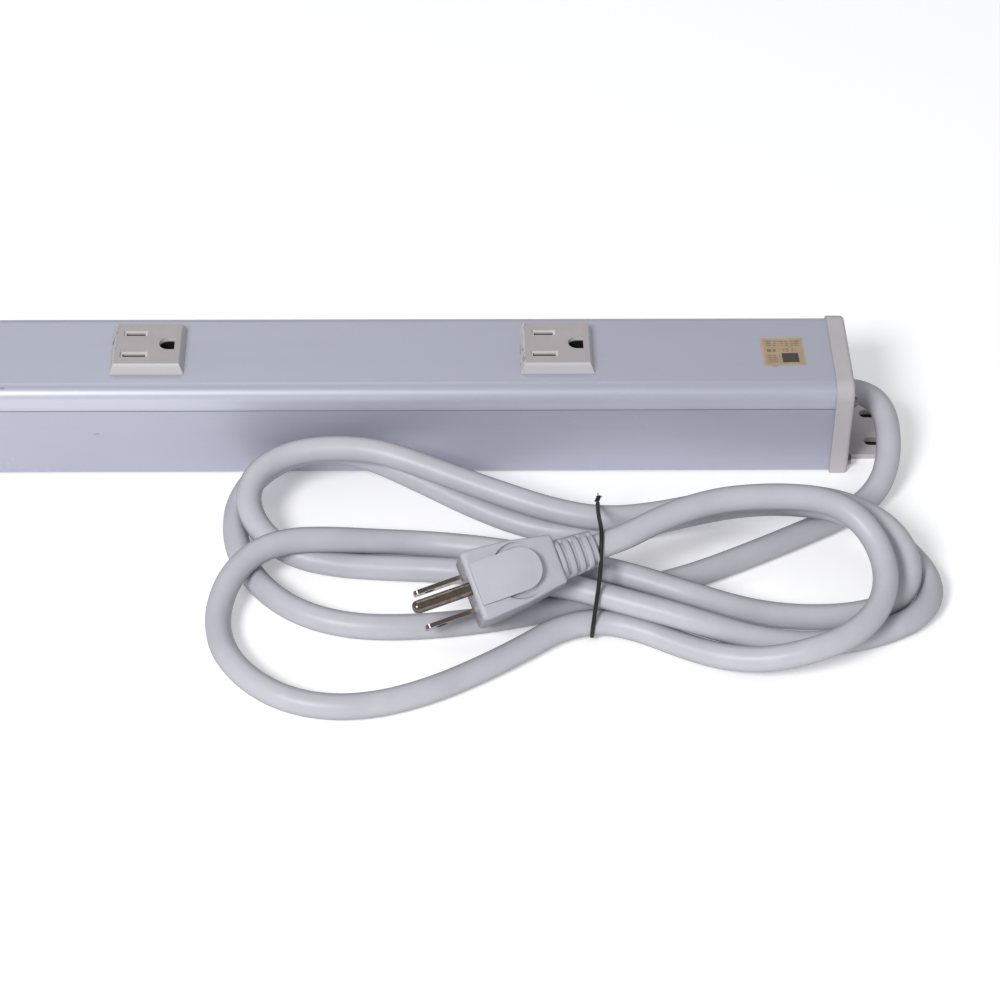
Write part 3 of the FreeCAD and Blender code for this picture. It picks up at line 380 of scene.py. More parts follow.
@dataclass(frozen=True)
class OutletFinish:
    """Warm grey outlet face, paler on its bevels and stained at one edge, with painted shade in
    its recesses, a painted highlight on its slot lips and painted shadow deep in its slots.
    """

    name: str
    centre: Point
    tint: Colour = (0.41, 0.375, 0.382)
    stain: float = 0.8
    seed: float = 0.0

    def make(self) -> bpy.types.Material:
        """Build the material."""
        board = Board(self.name)
        x, y, z = board.spot(self.centre)
        half = 0.0137
        reach = board.larger(abs(x), abs(y))
        # Painted shade: darker below the face's top, in the recesses.
        low = 1.0 - z.fade(-0.0016, -0.0002)
        # The bevels are made paler and a little smoother.
        slope = reach.fade(half - 0.0018, half - 0.0016) * z.fade(-0.0045, -0.004)
        inside = abs(x).under(0.0105, 0.0003) * abs(y).under(0.0095, 0.0003)
        # Painted highlight on the slot lead-in walls, which face the light.
        painted_lip_highlight = inside * z.under(-0.00012, 0.00004) * 0.8
        # Painted shadow: near black deep inside the slots.
        deep = inside * z.under(-0.0017, 0.0004)
        shift = (self.seed, 0.31 * self.seed, 0.0)
        cloud = board.noise((110.0, 110.0, 110.0), 4.0, 0.6, shift)
        grain = board.noise((2600.0, 2600.0, 2600.0), 2.0, 0.5, shift)
        blots = board.noise((520.0, 240.0, 240.0), 3.0, 0.6, shift).fade(0.56, 0.66)
        dots = board.cells((700.0, 500.0, 500.0)).under(0.22, 0.08)
        left = (0.0 - x).fade(half - 0.0035, half - 0.0008)
        marks = board.larger(blots * left, dots * left * blots) * self.stain
        middle = abs(x).under(0.010, 0.001) * abs(y).under(0.011, 0.001)
        rub = cloud.fade(0.42, 0.7) * middle
        base = board.blend(rub * 0.5, self.tint, (0.46, 0.425, 0.43))
        base = board.blend(slope * 0.7, base, (0.66, 0.645, 0.655))
        base = board.blend(low * 0.25, base, (0.25, 0.24, 0.24))
        base = board.blend(marks, base, (0.23, 0.17, 0.11))
        base = board.blend(painted_lip_highlight, base, (0.72, 0.70, 0.69))
        base = board.blend(deep, base, (0.012, 0.012, 0.012))
        board.relief(grain + cloud * 0.8, 0.000014)
        rough = 0.46 + grain * 0.07 - slope * 0.08 + marks * 0.1
        return board.finish(Base_Color=base, Roughness=rough)


@dataclass(frozen=True)
class SoftVinyl:
    """Soft vinyl of the cord and the plug, with flow marks, scuffs, a little dust and painted
    shade where it turns away from view.
    """

    name: str
    tint: Colour
    gloss: float = 0.40
    scuff: float = 0.5

    def make(self) -> bpy.types.Material:
        """Build the material."""
        board = Board(self.name)
        flow = board.noise((60.0, 60.0, 60.0), 3.0, 0.55)
        grain = board.noise((1500.0, 1500.0, 1500.0), 3.0, 0.6)
        rubs = board.noise((260.0, 90.0, 260.0), 3.0, 0.65, (0.1, 0.5, 0.2))
        few = board.noise((22.0, 22.0, 22.0), 1.0, 0.5, (0.9, 0.2, 0.4)).fade(0.56, 0.66)
        scuffs = rubs.fade(0.62, 0.72) * few * self.scuff
        lint = board.cells((330.0, 330.0, 330.0)).under(0.06, 0.02)
        deeper = tuple(value * 0.93 for value in self.tint)
        base = board.blend(flow.fade(0.35, 0.65), deeper, self.tint)
        base = board.blend(scuffs * 0.35, base, (0.33, 0.30, 0.30))
        base = board.blend(lint * 0.5 * few, base, (0.25, 0.2, 0.17))
        # Painted shade: the colour darkens where the surface turns away from view.
        base = board.blend(board.rim(2.2) * 0.9, base, tuple(value * 0.3 for value in self.tint))
        board.relief(grain * 0.6 + flow * 1.2 - scuffs * 0.6, 0.00002)
        rough = self.gloss + grain * 0.08 + scuffs * 0.12
        return board.finish(Base_Color=base, Roughness=rough, Specular_IOR_Level=0.45)


@dataclass(frozen=True)
class PlatedMetal:
    """Plated or bare metal with rubbing marks and tarnish."""

    name: str
    tint: Colour
    tarnish: Colour
    gloss: float = 0.24
    wear: float = 0.5

    def make(self) -> bpy.types.Material:
        """Build the material."""
        board = Board(self.name)
        rubbed = board.noise((180.0, 2200.0, 2200.0), 3.0, 0.6, (0, 0, 0), (0.0, 0.0, -0.42))
        cloud = board.noise((420.0, 420.0, 420.0), 4.0, 0.65)
        pits = board.cells((1500.0, 1500.0, 1500.0)).under(0.16, 0.06)
        dull = cloud.fade(0.42, 0.68) * self.wear
        base = board.blend(dull, self.tint, self.tarnish)
        base = board.blend(pits * 0.35, base, tuple(v * 0.5 for v in self.tarnish))
        board.relief(rubbed * 0.7 - pits * 0.8, 0.00001)
        rough = self.gloss + dull * 0.2 + rubbed * 0.08
        return board.finish(Base_Color=base, Metallic=1.0, Roughness=rough)


@dataclass(frozen=True)
class PressedFibre:
    """Grey-brown pressed fibre sheet with loose strands."""

    name: str
    tint: Colour = (0.36, 0.29, 0.2)

    def make(self) -> bpy.types.Material:
        """Build the material."""
        board = Board(self.name)
        strands = board.noise((900.0, 120.0, 700.0), 4.0, 0.7, (0, 0, 0), (0.2, 0.1, 0.5))
        cross = board.noise((120.0, 900.0, 700.0), 4.0, 0.7, (1, 0, 0), (0.1, 0.3, 0.2))
        weave = board.larger(strands, cross)
        base = board.blend(weave.fade(0.45, 0.7), tuple(v * 0.75 for v in self.tint), self.tint)
        board.relief(weave, 0.00004)
        return board.finish(Base_Color=base, Roughness=0.8 + weave * 0.1)


@dataclass(frozen=True)
class PaperLabel:
    """Tan paper label with plain printed blocks and rules that say nothing."""

    name: str
    centre: Point
    turn: float
    paper: Colour = (0.42, 0.31, 0.20)
    ink: Colour = (0.03, 0.03, 0.035)

    def make(self) -> bpy.types.Material:
        """Build the material."""
        board = Board(self.name)
        x, y, _ = board.spot(self.centre, self.turn)

        def block(mid_x: float, mid_y: float, wide: float, high: float) -> Signal:
            """Give 1 inside a printed rectangle, in millimetres from the centre."""
            across = abs(x - mid_x * MM).under(wide * 0.5 * MM, 0.00008)
            along = abs(y - mid_y * MM).under(high * 0.5 * MM, 0.00008)
            return across * along

        ragged = board.noise((900.0, 900.0, 900.0), 2.0, 0.5)
        dashes = board.noise((1500.0, 60.0, 60.0), 0.0, 0.5).fade(0.46, 0.5)
        print_ = block(2.2, -3.6, 6.2, 5.6)
        lines = block(-4.6, -3.4, 3.6, 0.5)
        for level in (-2.1, -4.7, -6.0):
            lines = board.larger(lines, block(-4.6, level, 3.6, 0.45))
        for level in (6.3, 5.1, 3.9):
            lines = board.larger(lines, block(0.1, level, 12.4, 0.5))
        lines = lines * dashes
        for level in (0.4, 1.6):
            lines = board.larger(lines, block(2.2, level, 5.0, 0.5) * dashes)
        lines = board.larger(lines, block(-4.6, 0.9, 3.2, 1.6) * dashes)
        fade = board.noise((260.0, 260.0, 260.0), 3.0, 0.6)
        edge = board.larger(abs(x).fade(0.0068, 0.0079), abs(y).fade(0.0072, 0.0083))
        paper = board.blend(fade.fade(0.35, 0.7), self.paper, tuple(v * 0.86 for v in self.paper))
        paper = board.blend(edge * 0.3, paper, (0.62, 0.53, 0.42))
        worn = 1.0 - ragged.fade(0.66, 0.75) * 0.5
        base = board.blend(print_ * 0.93, paper, self.ink)
        base = board.blend(lines * worn * 0.72, base, (0.1, 0.08, 0.07))
        board.relief(ragged + fade, 0.000012)
        return board.finish(Base_Color=base, Roughness=0.58 + ragged * 0.1)


@dataclass(frozen=True)
class StudioFloor:
    """Plain pale studio floor with a painted shadow: a dark, unlit patch under the case, seen
    through the end caps' ear slots.
    """

    name: str
    tint: Colour = (0.93, 0.93, 0.935)
    glow: float = 0.2
    shade_centre: Point = (0.0, 0.0, 0.0)
    shade_half: tuple[float, float] = (0.3, 0.014)

    def make(self) -> bpy.types.Material:
        """Build the material."""
        board = Board(self.name)
        cloud = board.noise((1.2, 1.2, 1.2), 2.0, 0.5)
        x, y, _ = board.spot(self.shade_centre)
        half_x, half_y = self.shade_half
        # Painted shadow: a dark patch with no glow under the case, in place of its contact shadow.
        contact = abs(x).under(half_x, 0.001) * abs(y).under(half_y, 0.001)
        base = board.blend(cloud * 0.04, self.tint, (0.9, 0.9, 0.9))
        base = board.blend(contact, base, (0.02, 0.02, 0.02))
        glow = board.blend(contact, (0.98, 0.985, 1.0), (0.0, 0.0, 0.0))
        return board.finish(Base_Color=base, Roughness=0.85, Specular_IOR_Level=0.1,
                            Emission_Color=glow, Emission_Strength=self.glow)


# ---------------------------------------------------------------- shaping tools


class Pick(Enum):
    """What a selection by place is made of."""

    VERTS = "VERT"
    EDGES = "EDGE"
    FACES = "FACE"


class Workpiece:
    """Mesh on the bench: started from a primitive and shaped in edit mode."""

    def __init__(self, name: str) -> None:
        """Take the object that a primitive operator has just added.

        Args:
            name: Name of the piece.
        """
        self.object = bpy.context.object
        self.object.name = name
        self.object.data.name = name

    @staticmethod
    def clear_bench() -> None:
        """Deselect everything."""
        if bpy.context.object and bpy.context.object.mode != "OBJECT":
            bpy.ops.object.mode_set(mode="OBJECT")
        bpy.ops.object.select_all(action="DESELECT")

    @classmethod
    def block(cls, name: str, size: Point, centre: Point) -> "Workpiece":
        """Start from a block.

        Args:
            name: Name of the piece.
            size: Its size in millimetres.
            centre: Its middle in millimetres.

        Returns:
            The workpiece.
        """
        cls.clear_bench()
        bpy.ops.mesh.primitive_cube_add(size=1.0, location=metres(centre))
        piece = cls(name)
        piece.object.scale = metres(size)
        piece.settle()
        return piece

    @classmethod
    def bar(cls, name: str, radius: float, length: float, centre: Point,
            sides: int = 48) -> "Workpiece":
        """Start from a round bar along X.

        Args:
            name: Name of the piece.
            radius: Radius in millimetres.
            length: Length in millimetres.
            centre: Its middle in millimetres.
            sides: Faces round it.

        Returns:
            The workpiece.
        """
        cls.clear_bench()
        bpy.ops.mesh.primitive_cylinder_add(
            vertices=sides, radius=radius * MM, depth=length * MM,
            location=metres(centre), rotation=(0.0, math.pi / 2, 0.0))
        piece = cls(name)
        piece.settle()
        return piece

    def settle(self) -> None:
        """Put the object's place, turn and size into its mesh."""
        self.activate()
        bpy.ops.object.transform_apply(location=True, rotation=True, scale=True)

    def activate(self) -> None:
        """Make this the only selected object."""
        self.clear_bench()
        self.object.select_set(True)
        bpy.context.view_layer.objects.active = self.object

    def pick(self, kind: Pick, test: Callable[[Vector, Vector], bool]) -> int:
        """Select elements by their place and normal, in edit mode.

        Args:
            kind: What is selected.
            test: Takes an element's middle in millimetres and its normal.

        Returns:
            How many elements were selected.
        """
        bpy.ops.mesh.select_mode(type=kind.value)
        bpy.ops.mesh.select_all(action="DESELECT")
        mesh = bmesh.from_edit_mesh(self.object.data)
        count = 0
        for item in {Pick.VERTS: mesh.verts, Pick.EDGES: mesh.edges, Pick.FACES: mesh.faces}[kind]:
            if kind is Pick.VERTS:
                middle, normal = item.co, item.normal
            elif kind is Pick.EDGES:
                middle = (item.verts[0].co + item.verts[1].co) / 2
                normal = (item.verts[1].co - item.verts[0].co).normalized()
            else:
                middle, normal = item.calc_center_median(), item.normal
            if test(middle / MM, normal):
                item.select_set(True)
                count += 1
        mesh.select_flush_mode()
        bmesh.update_edit_mesh(self.object.data)
        return count

    def slice(self, middle: Point, normal: Point) -> None:
        """Cut the whole mesh with a plane, keeping both sides.

        Args:
            middle: Point of the plane in millimetres.
            normal: Direction square to the plane.
        """
        bpy.ops.mesh.select_all(action="SELECT")
        bpy.ops.mesh.bisect(plane_co=metres(middle), plane_no=normal)

    def modify(self, kind: str, **settings: object) -> None:
        """Add a modifier and apply it.

        Args:
            kind: Type of the modifier.
            **settings: Its settings.
        """
        self.activate()
        modifier = self.object.modifiers.new(kind.title(), kind)
        for name, value in settings.items():
            setattr(modifier, name, value)
        bpy.ops.object.modifier_apply(modifier=modifier.name)

    def carry(self, place: Matrix) -> None:
        """Move the finished mesh to its place and leave its object at the origin.

        Args:
            place: Pose of the piece's own axes in the frame.
        """
        self.object.matrix_world = place @ self.object.matrix_world
        self.settle()

    def smooth(self, angle: float = 32.0) -> None:
        """Shade smoothly across edges flatter than an angle in degrees."""
        self.activate()
        bpy.ops.object.shade_smooth_by_angle(angle=math.radians(angle))


def dress(piece: bpy.types.Object, material: bpy.types.Material) -> None:
    """Give every slot of a piece one material.

    Args:
        piece: Object to dress.
        material: Its finish.
    """
    if not piece.material_slots:
        piece.data.materials.append(material)
    for holder in piece.material_slots:
        holder.material = material


def dress_node(node: str, material: bpy.types.Material) -> None:
    """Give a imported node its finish."""
    dress(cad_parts[node], material)


def sweep(name: str, points: Sequence[Point], radius: float, around: int, along: int,
          closed: bool = False) -> bpy.types.Object:
    """Lay one smooth round curve along its control points.

    Args:
        name: Name of the piece.
        points: Control points in millimetres.
        radius: Half its thickness in millimetres.
        around: Fineness of its round section.
        along: Steps from one control point to the next.
        closed: Whether it joins its own start.

    Returns:
        The curve's object.
    """
    curve = bpy.data.curves.new(name, "CURVE")
    curve.dimensions = "3D"
    curve.bevel_depth = radius * MM
    curve.bevel_resolution = around
    curve.resolution_u = along
    curve.use_fill_caps = True
    spline = curve.splines.new("NURBS")
    spline.points.add(len(points) - 1)
    for knot, place in zip(spline.points, points):
        knot.co = (*metres(place), 1.0)
    spline.order_u = 3
    spline.use_endpoint_u = not closed
    spline.use_cyclic_u = closed
    piece = bpy.data.objects.new(name, curve)
    bpy.context.scene.collection.objects.link(piece)
    return piece


# ---------------------------------------------------------------- sub-assemblies


@dataclass
class CaseDressing:
    """Finishes of the case, its end caps, screws and label."""

    label_centre: Point = (0.28, -0.0009, 0.0396)
    label_turn: float = math.radians(1.6)

    def build(self) -> None:
        """Dress the outer nodes of the case."""
        dress_node("top_cover", SatinCase("cover_satin").make())
        dress_node("base_channel", SatinCase("channel_satin", (0.43, 0.44, 0.525), 0.36).make())
        cap = MouldedPlastic("cap_plastic", (0.47, 0.455, 0.475), 0.45, 0.3).make()
        for node in ("end_cap_cord", "end_cap_plain"):
            dress_node(node, cap)
        screw = PlatedMetal("screw_plate", (0.22, 0.21, 0.20), (0.07, 0.06, 0.05),
                            0.18, 0.6).make()
        for node in ("cap_screws_cord", "cap_screws_plain"):
            dress_node(node, screw)
        label = PaperLabel("label_paper", self.label_centre, self.label_turn)
        dress_node("rating_label", label.make())
        log.info("case, caps, screws and label dressed")


@dataclass
class OutletRow:
    """Finishes of the outlets and of everything behind them."""

    count: int = 4
    seeds: Sequence[float] = (0.0, 1.7, 3.1, 4.6)
    stains: Sequence[float] = (0.75, 0.85, 0.6, 0.5)

    def build(self) -> None:
        """Dress the outlet faces, housings, contacts, bus bars and leads."""
        housing = MouldedPlastic("housing_black", (0.018, 0.018, 0.02), 0.5, 0.4,
                                 (0.2, 0.19, 0.17)).make()
        brass = PlatedMetal("contact_brass", (0.78, 0.57, 0.28), (0.35, 0.24, 0.11),
                            0.28, 0.5).make()
        for number in range(1, self.count + 1):
            low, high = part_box("outlet_face_%d" % number)
            centre = ((low.x + high.x) / 2, (low.y + high.y) / 2, high.z)
            face = OutletFinish("outlet_grey_%d" % number, centre,
                                stain=self.stains[number - 1], seed=self.seeds[number - 1])
            dress_node("outlet_face_%d" % number, face.make())
            dress_node("outlet_housing_%d" % number, housing)
            for pole in ("line", "neutral", "ground"):
                dress_node("%s_contact_%d" % (pole, number), brass)
        for pole in ("line", "neutral", "ground"):
            dress_node("%s_bus_bar" % pole, brass)
        dress_node("bus_spacers", housing)
        dress_node("cord_clamp", housing)
        dress_node("insulating_liner", PressedFibre("liner_fibre").make())
        leads = {"line": (0.02, 0.02, 0.021), "neutral": (0.78, 0.78, 0.75),
                 "ground": (0.05, 0.22, 0.08)}
        for pole, tint in leads.items():
            dress_node("%s_lead" % pole, SoftVinyl("%s_insulation" % pole, tint, 0.35, 0.3).make())
        log.info("outlets and inner parts dressed")


@dataclass
class Plug:
    """Moulded three-pin plug: body with a raised tongue, ribbed strain relief and pins.

    Its own axes: X along the pins with the face at 0, Y across, Z to the ground side.
    """

    face: Point = (160.7, -117.0, 25.0)
    turn: Point = (198.3, 8.8, -36.5)
    length: float = 33.0
    rim: float = 2.4
    front: tuple[float, float] = (25.6, 19.6)
    waist: tuple[float, float] = (23.2, 18.6)
    waist_at: float = 17.0
    rear: tuple[float, float] = (18.0, 14.0)
    shoulder: tuple[float, float] = (18.9, 15.0)
    shoulder_before_rear: float = 4.0
    edge: float = 1.2
    tongue_from: float = 1.6
    tongue_length: float = 25.0
    tongue_width: float = 17.0
    tongue_rise: float = 1.2
    relief_length: float = 14.0
    relief_radii: tuple[float, float] = (7.4, 6.5)
    slot_count: int = 4
    slot_from: float = 1.6
    slot_steps: tuple[float, ...] = (0.0, 0.35, 1.15, 1.5)
    vinyl: Colour = (0.455, 0.45, 0.505)

    def pose(self) -> Matrix:
        """Give the pose of the plug's own axes in the frame."""
        yaw, pitch, roll = (math.radians(angle) for angle in self.turn)
        return (Matrix.Translation(metres(self.face)) @ Matrix.Rotation(yaw, 4, "Z")
                @ Matrix.Rotation(pitch, 4, "Y") @ Matrix.Rotation(roll, 4, "X"))

    def tongue(self) -> Workpiece:
        """Shape the raised tongue with its rounded rear end.

        Returns:
            The tongue as a loose workpiece.
        """
        top = self.front[1] / 2 + self.tongue_rise
        piece = Workpiece.block("tongue", (self.tongue_length, self.tongue_width, 8.0),
                                (-self.tongue_from - self.tongue_length / 2, 0.0, top - 4.0))
        back = -self.tongue_from - self.tongue_length
        bpy.ops.object.mode_set(mode="EDIT")
        piece.pick(Pick.EDGES, lambda p, n: abs(n.z) > 0.9 and p.x < back + 0.1)
        bpy.ops.mesh.bevel(offset=self.tongue_width * 0.46 * MM, segments=14, affect="EDGES")
        piece.pick(Pick.FACES, lambda p, n: n.z > 0.9)
        bpy.ops.transform.resize(value=(0.955, 0.90, 1.0),
                                 center_override=metres((-self.tongue_from, 0.0, top)))
        piece.pick(Pick.VERTS, lambda p, n: p.z > top - 0.1 and p.x < -self.tongue_length * 0.55)
        bpy.ops.transform.rotate(value=math.radians(-3.2), orient_axis="Y", orient_type="GLOBAL",
                                 center_override=metres((-self.tongue_length * 0.55, 0.0, top)))
        bpy.ops.object.mode_set(mode="OBJECT")
        return piece

    def scoop(self) -> Workpiece:
        """Shape the ring that cuts the hollow round the tongue's rear end.

        Returns:
            The cutter as a loose workpiece.
        """
        Workpiece.clear_bench()
        middle = -self.tongue_from - self.tongue_length + self.tongue_width * 0.5
        bpy.ops.mesh.primitive_torus_add(
            major_segments=56, minor_segments=16,
            major_radius=(self.tongue_width * 0.5 + 0.7) * MM, minor_radius=1.1 * MM,
            location=metres((middle, 0.0, self.front[1] / 2 - 0.5)))
        piece = Workpiece("scoop")
        piece.settle()
        return piece

    def body(self) -> Workpiece:
        """Shape the moulded body.

        Returns:
            The body in the plug's own axes.
        """
        wide, high = self.front
        piece = Workpiece.block("plug_moulding", (self.length, wide, high),
                                (-self.length / 2, 0.0, 0.0))
        bpy.ops.object.mode_set(mode="EDIT")
        shoulder_at = self.length - self.shoulder_before_rear
        for cut in (self.rim, self.waist_at, shoulder_at):
            piece.slice((-cut, 0.0, 0.0), (1.0, 0.0, 0.0))
        for level, (y_size, z_size) in ((self.waist_at, self.waist), (shoulder_at, self.shoulder),
                                        (self.length, self.rear)):
            piece.pick(Pick.VERTS, lambda p, n, at=level: abs(p.x + at) < 0.05)
            bpy.ops.transform.resize(value=(1.0, y_size / wide, z_size / high),
                                     center_override=metres((-level, 0.0, 0.0)))
        piece.pick(Pick.VERTS, lambda p, n: abs(p.x) < 0.05)
        bpy.ops.transform.resize(value=(1.0, 0.98, 0.965), center_override=(0.0, 0.0, 0.0))
        bpy.ops.object.mode_set(mode="OBJECT")
        piece.modify("BEVEL", width=self.edge * MM, segments=4, limit_method="ANGLE",
                     angle_limit=math.radians(35))
        tongue = self.tongue()
        piece.modify("BOOLEAN", operation="UNION", object=tongue.object, solver="EXACT")
        scoop = self.scoop()
        piece.modify("BOOLEAN", operation="DIFFERENCE", object=scoop.object, solver="EXACT")
        for tool in (tongue, scoop):
            bpy.data.objects.remove(tool.object, do_unlink=True)
        piece.modify("BEVEL", width=0.35 * MM, segments=3, limit_method="ANGLE",
                     angle_limit=math.radians(28))
        piece.smooth(40.0)
        return piece

    def relief(self) -> Workpiece:
        """Shape the ribbed strain relief, with slots that leave a web on the far side.

        Returns:
            The relief in the plug's own axes.
        """
        near, far = self.relief_radii
        piece = Workpiece.bar("plug_relief_ribs", near, self.relief_length,
                              (-self.length - self.relief_length / 2, 0.0, 0.0), 64)
        bpy.ops.object.mode_set(mode="EDIT")
        pitch = self.relief_length / 4.2
        starts = [self.length + self.slot_from + pitch * number
                  for number in range(self.slot_count)]
        levels = sorted({start + step for start in starts for step in self.slot_steps})
        for level in levels:
            piece.slice((-level, 0.0, 0.0), (1.0, 0.0, 0.0))
        piece.pick(Pick.VERTS, lambda p, n: p.x < -self.length - self.relief_length + 0.05)
        bpy.ops.transform.resize(value=(1.0, far / near, far / near), center_override=(0, 0, 0))
        for level in levels:
            share = (level - self.length) / self.relief_length
            scale = 1.0 - (1.0 - far / near) * share
            piece.pick(Pick.VERTS, lambda p, n, at=level: abs(p.x + at) < 0.03)
            bpy.ops.transform.resize(value=(1.0, scale, scale), center_override=(0, 0, 0))
        for number, start in enumerate(starts):
            for turn in (0.0, math.pi):
                middle = turn + (0.35 if number % 2 else 0.15)
                for step in self.slot_steps[1:3]:
                    piece.pick(Pick.VERTS, lambda p, n, at=start + step, aim=middle:
                               abs(p.x + at) < 0.03 and abs(math.remainder(
                                   math.atan2(p.y, p.z) - aim, math.tau)) < 1.2)
                    bpy.ops.transform.resize(value=(1.0, 0.84, 0.84), center_override=(0, 0, 0))
        piece.pick(Pick.EDGES, lambda p, n: p.x < -self.length - self.relief_length + 0.05)
        bpy.ops.mesh.bevel(offset=0.7 * MM, segments=3, affect="EDGES")
        bpy.ops.object.mode_set(mode="OBJECT")
        piece.modify("BEVEL", width=0.14 * MM, segments=2, limit_method="ANGLE",
                     angle_limit=math.radians(25))
        piece.smooth(38.0)
        return piece

    def build(self) -> list[bpy.types.Object]:
        """Build the plug and dress its pins.

        Returns:
            The pieces that sit on the cord's end.
        """
        vinyl = SoftVinyl("plug_vinyl", self.vinyl, 0.42, 0.35).make()
        pieces = []
        for piece, node in ((self.body(), "plug_body"), (self.relief(), "plug_strain_relief")):
            piece.carry(self.pose())
            dress(piece.object, vinyl)
            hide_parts(node)
            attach(piece.object, "root")
            pieces.append(piece.object)
            log.info("%s built with %d faces", piece.object.name, len(piece.object.data.polygons))
        nickel = PlatedMetal("pin_nickel", (0.21, 0.175, 0.15), (0.06, 0.05, 0.04),
                             0.16, 0.5).make()
        for node in ("plug_line_blade", "plug_neutral_blade", "plug_ground_pin"):
            dress_node(node, nickel)
            pieces.append(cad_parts[node])
        return pieces


@dataclass
class SupplyCord:
    """Round vinyl cord from the cap's gland to the plug, crossing in a tied figure-eight."""

    diameter: float = 9.3
    gland: Point = (304.8, 0, 20.3)
    leaving: Sequence[Point] = (
        (304.8, 0, 20.3), (308.9, 0, 20.3), (315.2, -3.7, 19.8), (318.9, -10.6, 18.3),
        (319.6, -19.6, 15.6), (318.8, -29.5, 11.6), (315.2, -39.5, 7.4), (308, -47.8, 4.8))
    first_lap: Sequence[Point] = (
        (298, -55.3, 4.65), (282, -65, 4.65), (262, -76.5, 4.65), (240, -88, 4.65),
        (217, -97.6, 6.2), (199, -103.1, 6.2), (178, -107.5, 4.65), (157, -111.5, 4.65),
        (137, -113.5, 4.65), (118, -112.5, 4.65), (101, -106, 4.65), (88, -94, 4.65),
        (79.3, -78.5, 4.65), (75.6, -62, 4.65), (76.3, -47, 5.2), (82.5, -35.5, 8.5),
        (94.5, -29, 13), (110, -28, 15.6), (126, -31.5, 14), (144, -40.3, 10.6), (163, -52, 8.2),
        (183, -62, 6.6), (204, -66.7, 6.5), (225, -61, 6), (244, -55, 6.8), (262, -53, 9.3),
        (279, -56.5, 13), (295.5, -61.5, 14.7), (309.5, -68, 11), (320.5, -76.8, 6.9),
        (326.8, -87.5, 4.9), (327, -99, 4.65), (320.5, -109.3, 4.65), (309, -116.3, 4.65),
        (295.5, -121, 4.65), (279, -124, 5.2))
    second_lap: Sequence[Point] = (
        (262, -124.3, 8.5), (246, -121.8, 12.5), (230, -117, 14.8), (214, -111, 15.2),
        (199, -105.2, 15.6), (184, -98.6, 13.3), (167, -89.3, 8.5), (150, -83.7, 5.3),
        (132, -82, 4.65), (114, -80.3, 4.65), (98.5, -76.8, 5.8), (87, -69.3, 9),
        (81, -59.3, 13), (81.2, -49.5, 16.8), (87, -41.8, 19.9), (98, -37.2, 22.2),
        (112, -36.3, 23.4), (127, -37.5, 23), (142, -43, 21.5), (158, -50, 19.5),
        (175, -57, 17.6), (192, -64, 16.2), (210, -68.3, 15.6), (228, -66, 15.6),
        (245, -62, 16.4), (262, -61, 18.6), (278, -63.8, 22.3), (292, -67.3, 23.8),
        (305, -71.8, 21.6), (315, -79.5, 17.9), (319.5, -89.5, 13.2), (317.8, -99.2, 8.6),
        (309, -105.6, 5.6), (296, -108.5, 4.65), (282, -109.5, 4.9), (268, -109.5, 6.3))
    third_lap: Sequence[Point] = (
        (254, -110, 10.5), (238, -107.3, 14.8), (223, -101, 15.8), (208, -94, 15),
        (192, -87, 12.2), (175, -79, 9.5), (158, -73.5, 7.5), (142, -71.8, 7.6),
        (126, -74, 10.5), (111, -76.5, 13.8), (97, -78, 14.8), (85.5, -83, 14.6),
        (76.5, -92, 11.5), (72.2, -102.5, 6.5), (72, -114, 4.65), (75.5, -126.8, 4.65),
        (83.5, -138.7, 4.65), (96, -148.8, 4.65), (112, -153.4, 4.65), (129, -152, 4.65),
        (146.5, -145.5, 4.65), (163, -136, 4.65), (179, -125, 4.65), (192, -115, 5.2),
        (206, -111.6, 6.3), (221, -115.4, 5.6), (236, -124, 5.2), (250, -131.5, 6.5),
        (264, -135.5, 9), (278, -135.5, 12.8))
    to_plug: Sequence[Point] = (
        (291, -131.5, 15), (301, -123, 16), (307.3, -112, 17.2), (309, -100.5, 19.8),
        (306, -90, 24.5), (299, -81.5, 29.3), (288.5, -77.3, 32.5), (276, -76.6, 33.6),
        (263, -77.8, 34.5), (250, -80.4, 35.1), (237.5, -85.4, 35.2), (226.5, -91.6, 34.9),
        (215.6, -98.6, 33.9), (208.5, -101.2, 32.9),
        (204.8, -102.4, 32.2))
    declared_length: float = 1.9
    vinyl: Colour = (0.51, 0.505, 0.555)

    def build(self, with_pieces: Sequence[bpy.types.Object]) -> bpy.types.Object:
        """Build the cord as one smooth curve.

        Args:
            with_pieces: The plug's pieces on its far end; not used.

        Returns:
            The cord.
        """
        route = [*self.leaving, *self.first_lap, *self.second_lap, *self.third_lap, *self.to_plug]
        cord = sweep("supply_cord", route, self.diameter / 2, 6, 7)
        dress(cord, SoftVinyl("cord_vinyl", self.vinyl, 0.38, 0.6).make())
        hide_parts("cord_tube", "cord_hank")
        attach(cord, "root")
        metres(self.gland)
        dress_node("cord_inside", SoftVinyl("cord_end_vinyl", self.vinyl, 0.38, 0.4).make())
        log.info("cord built from %d points", len(route))
        return cord


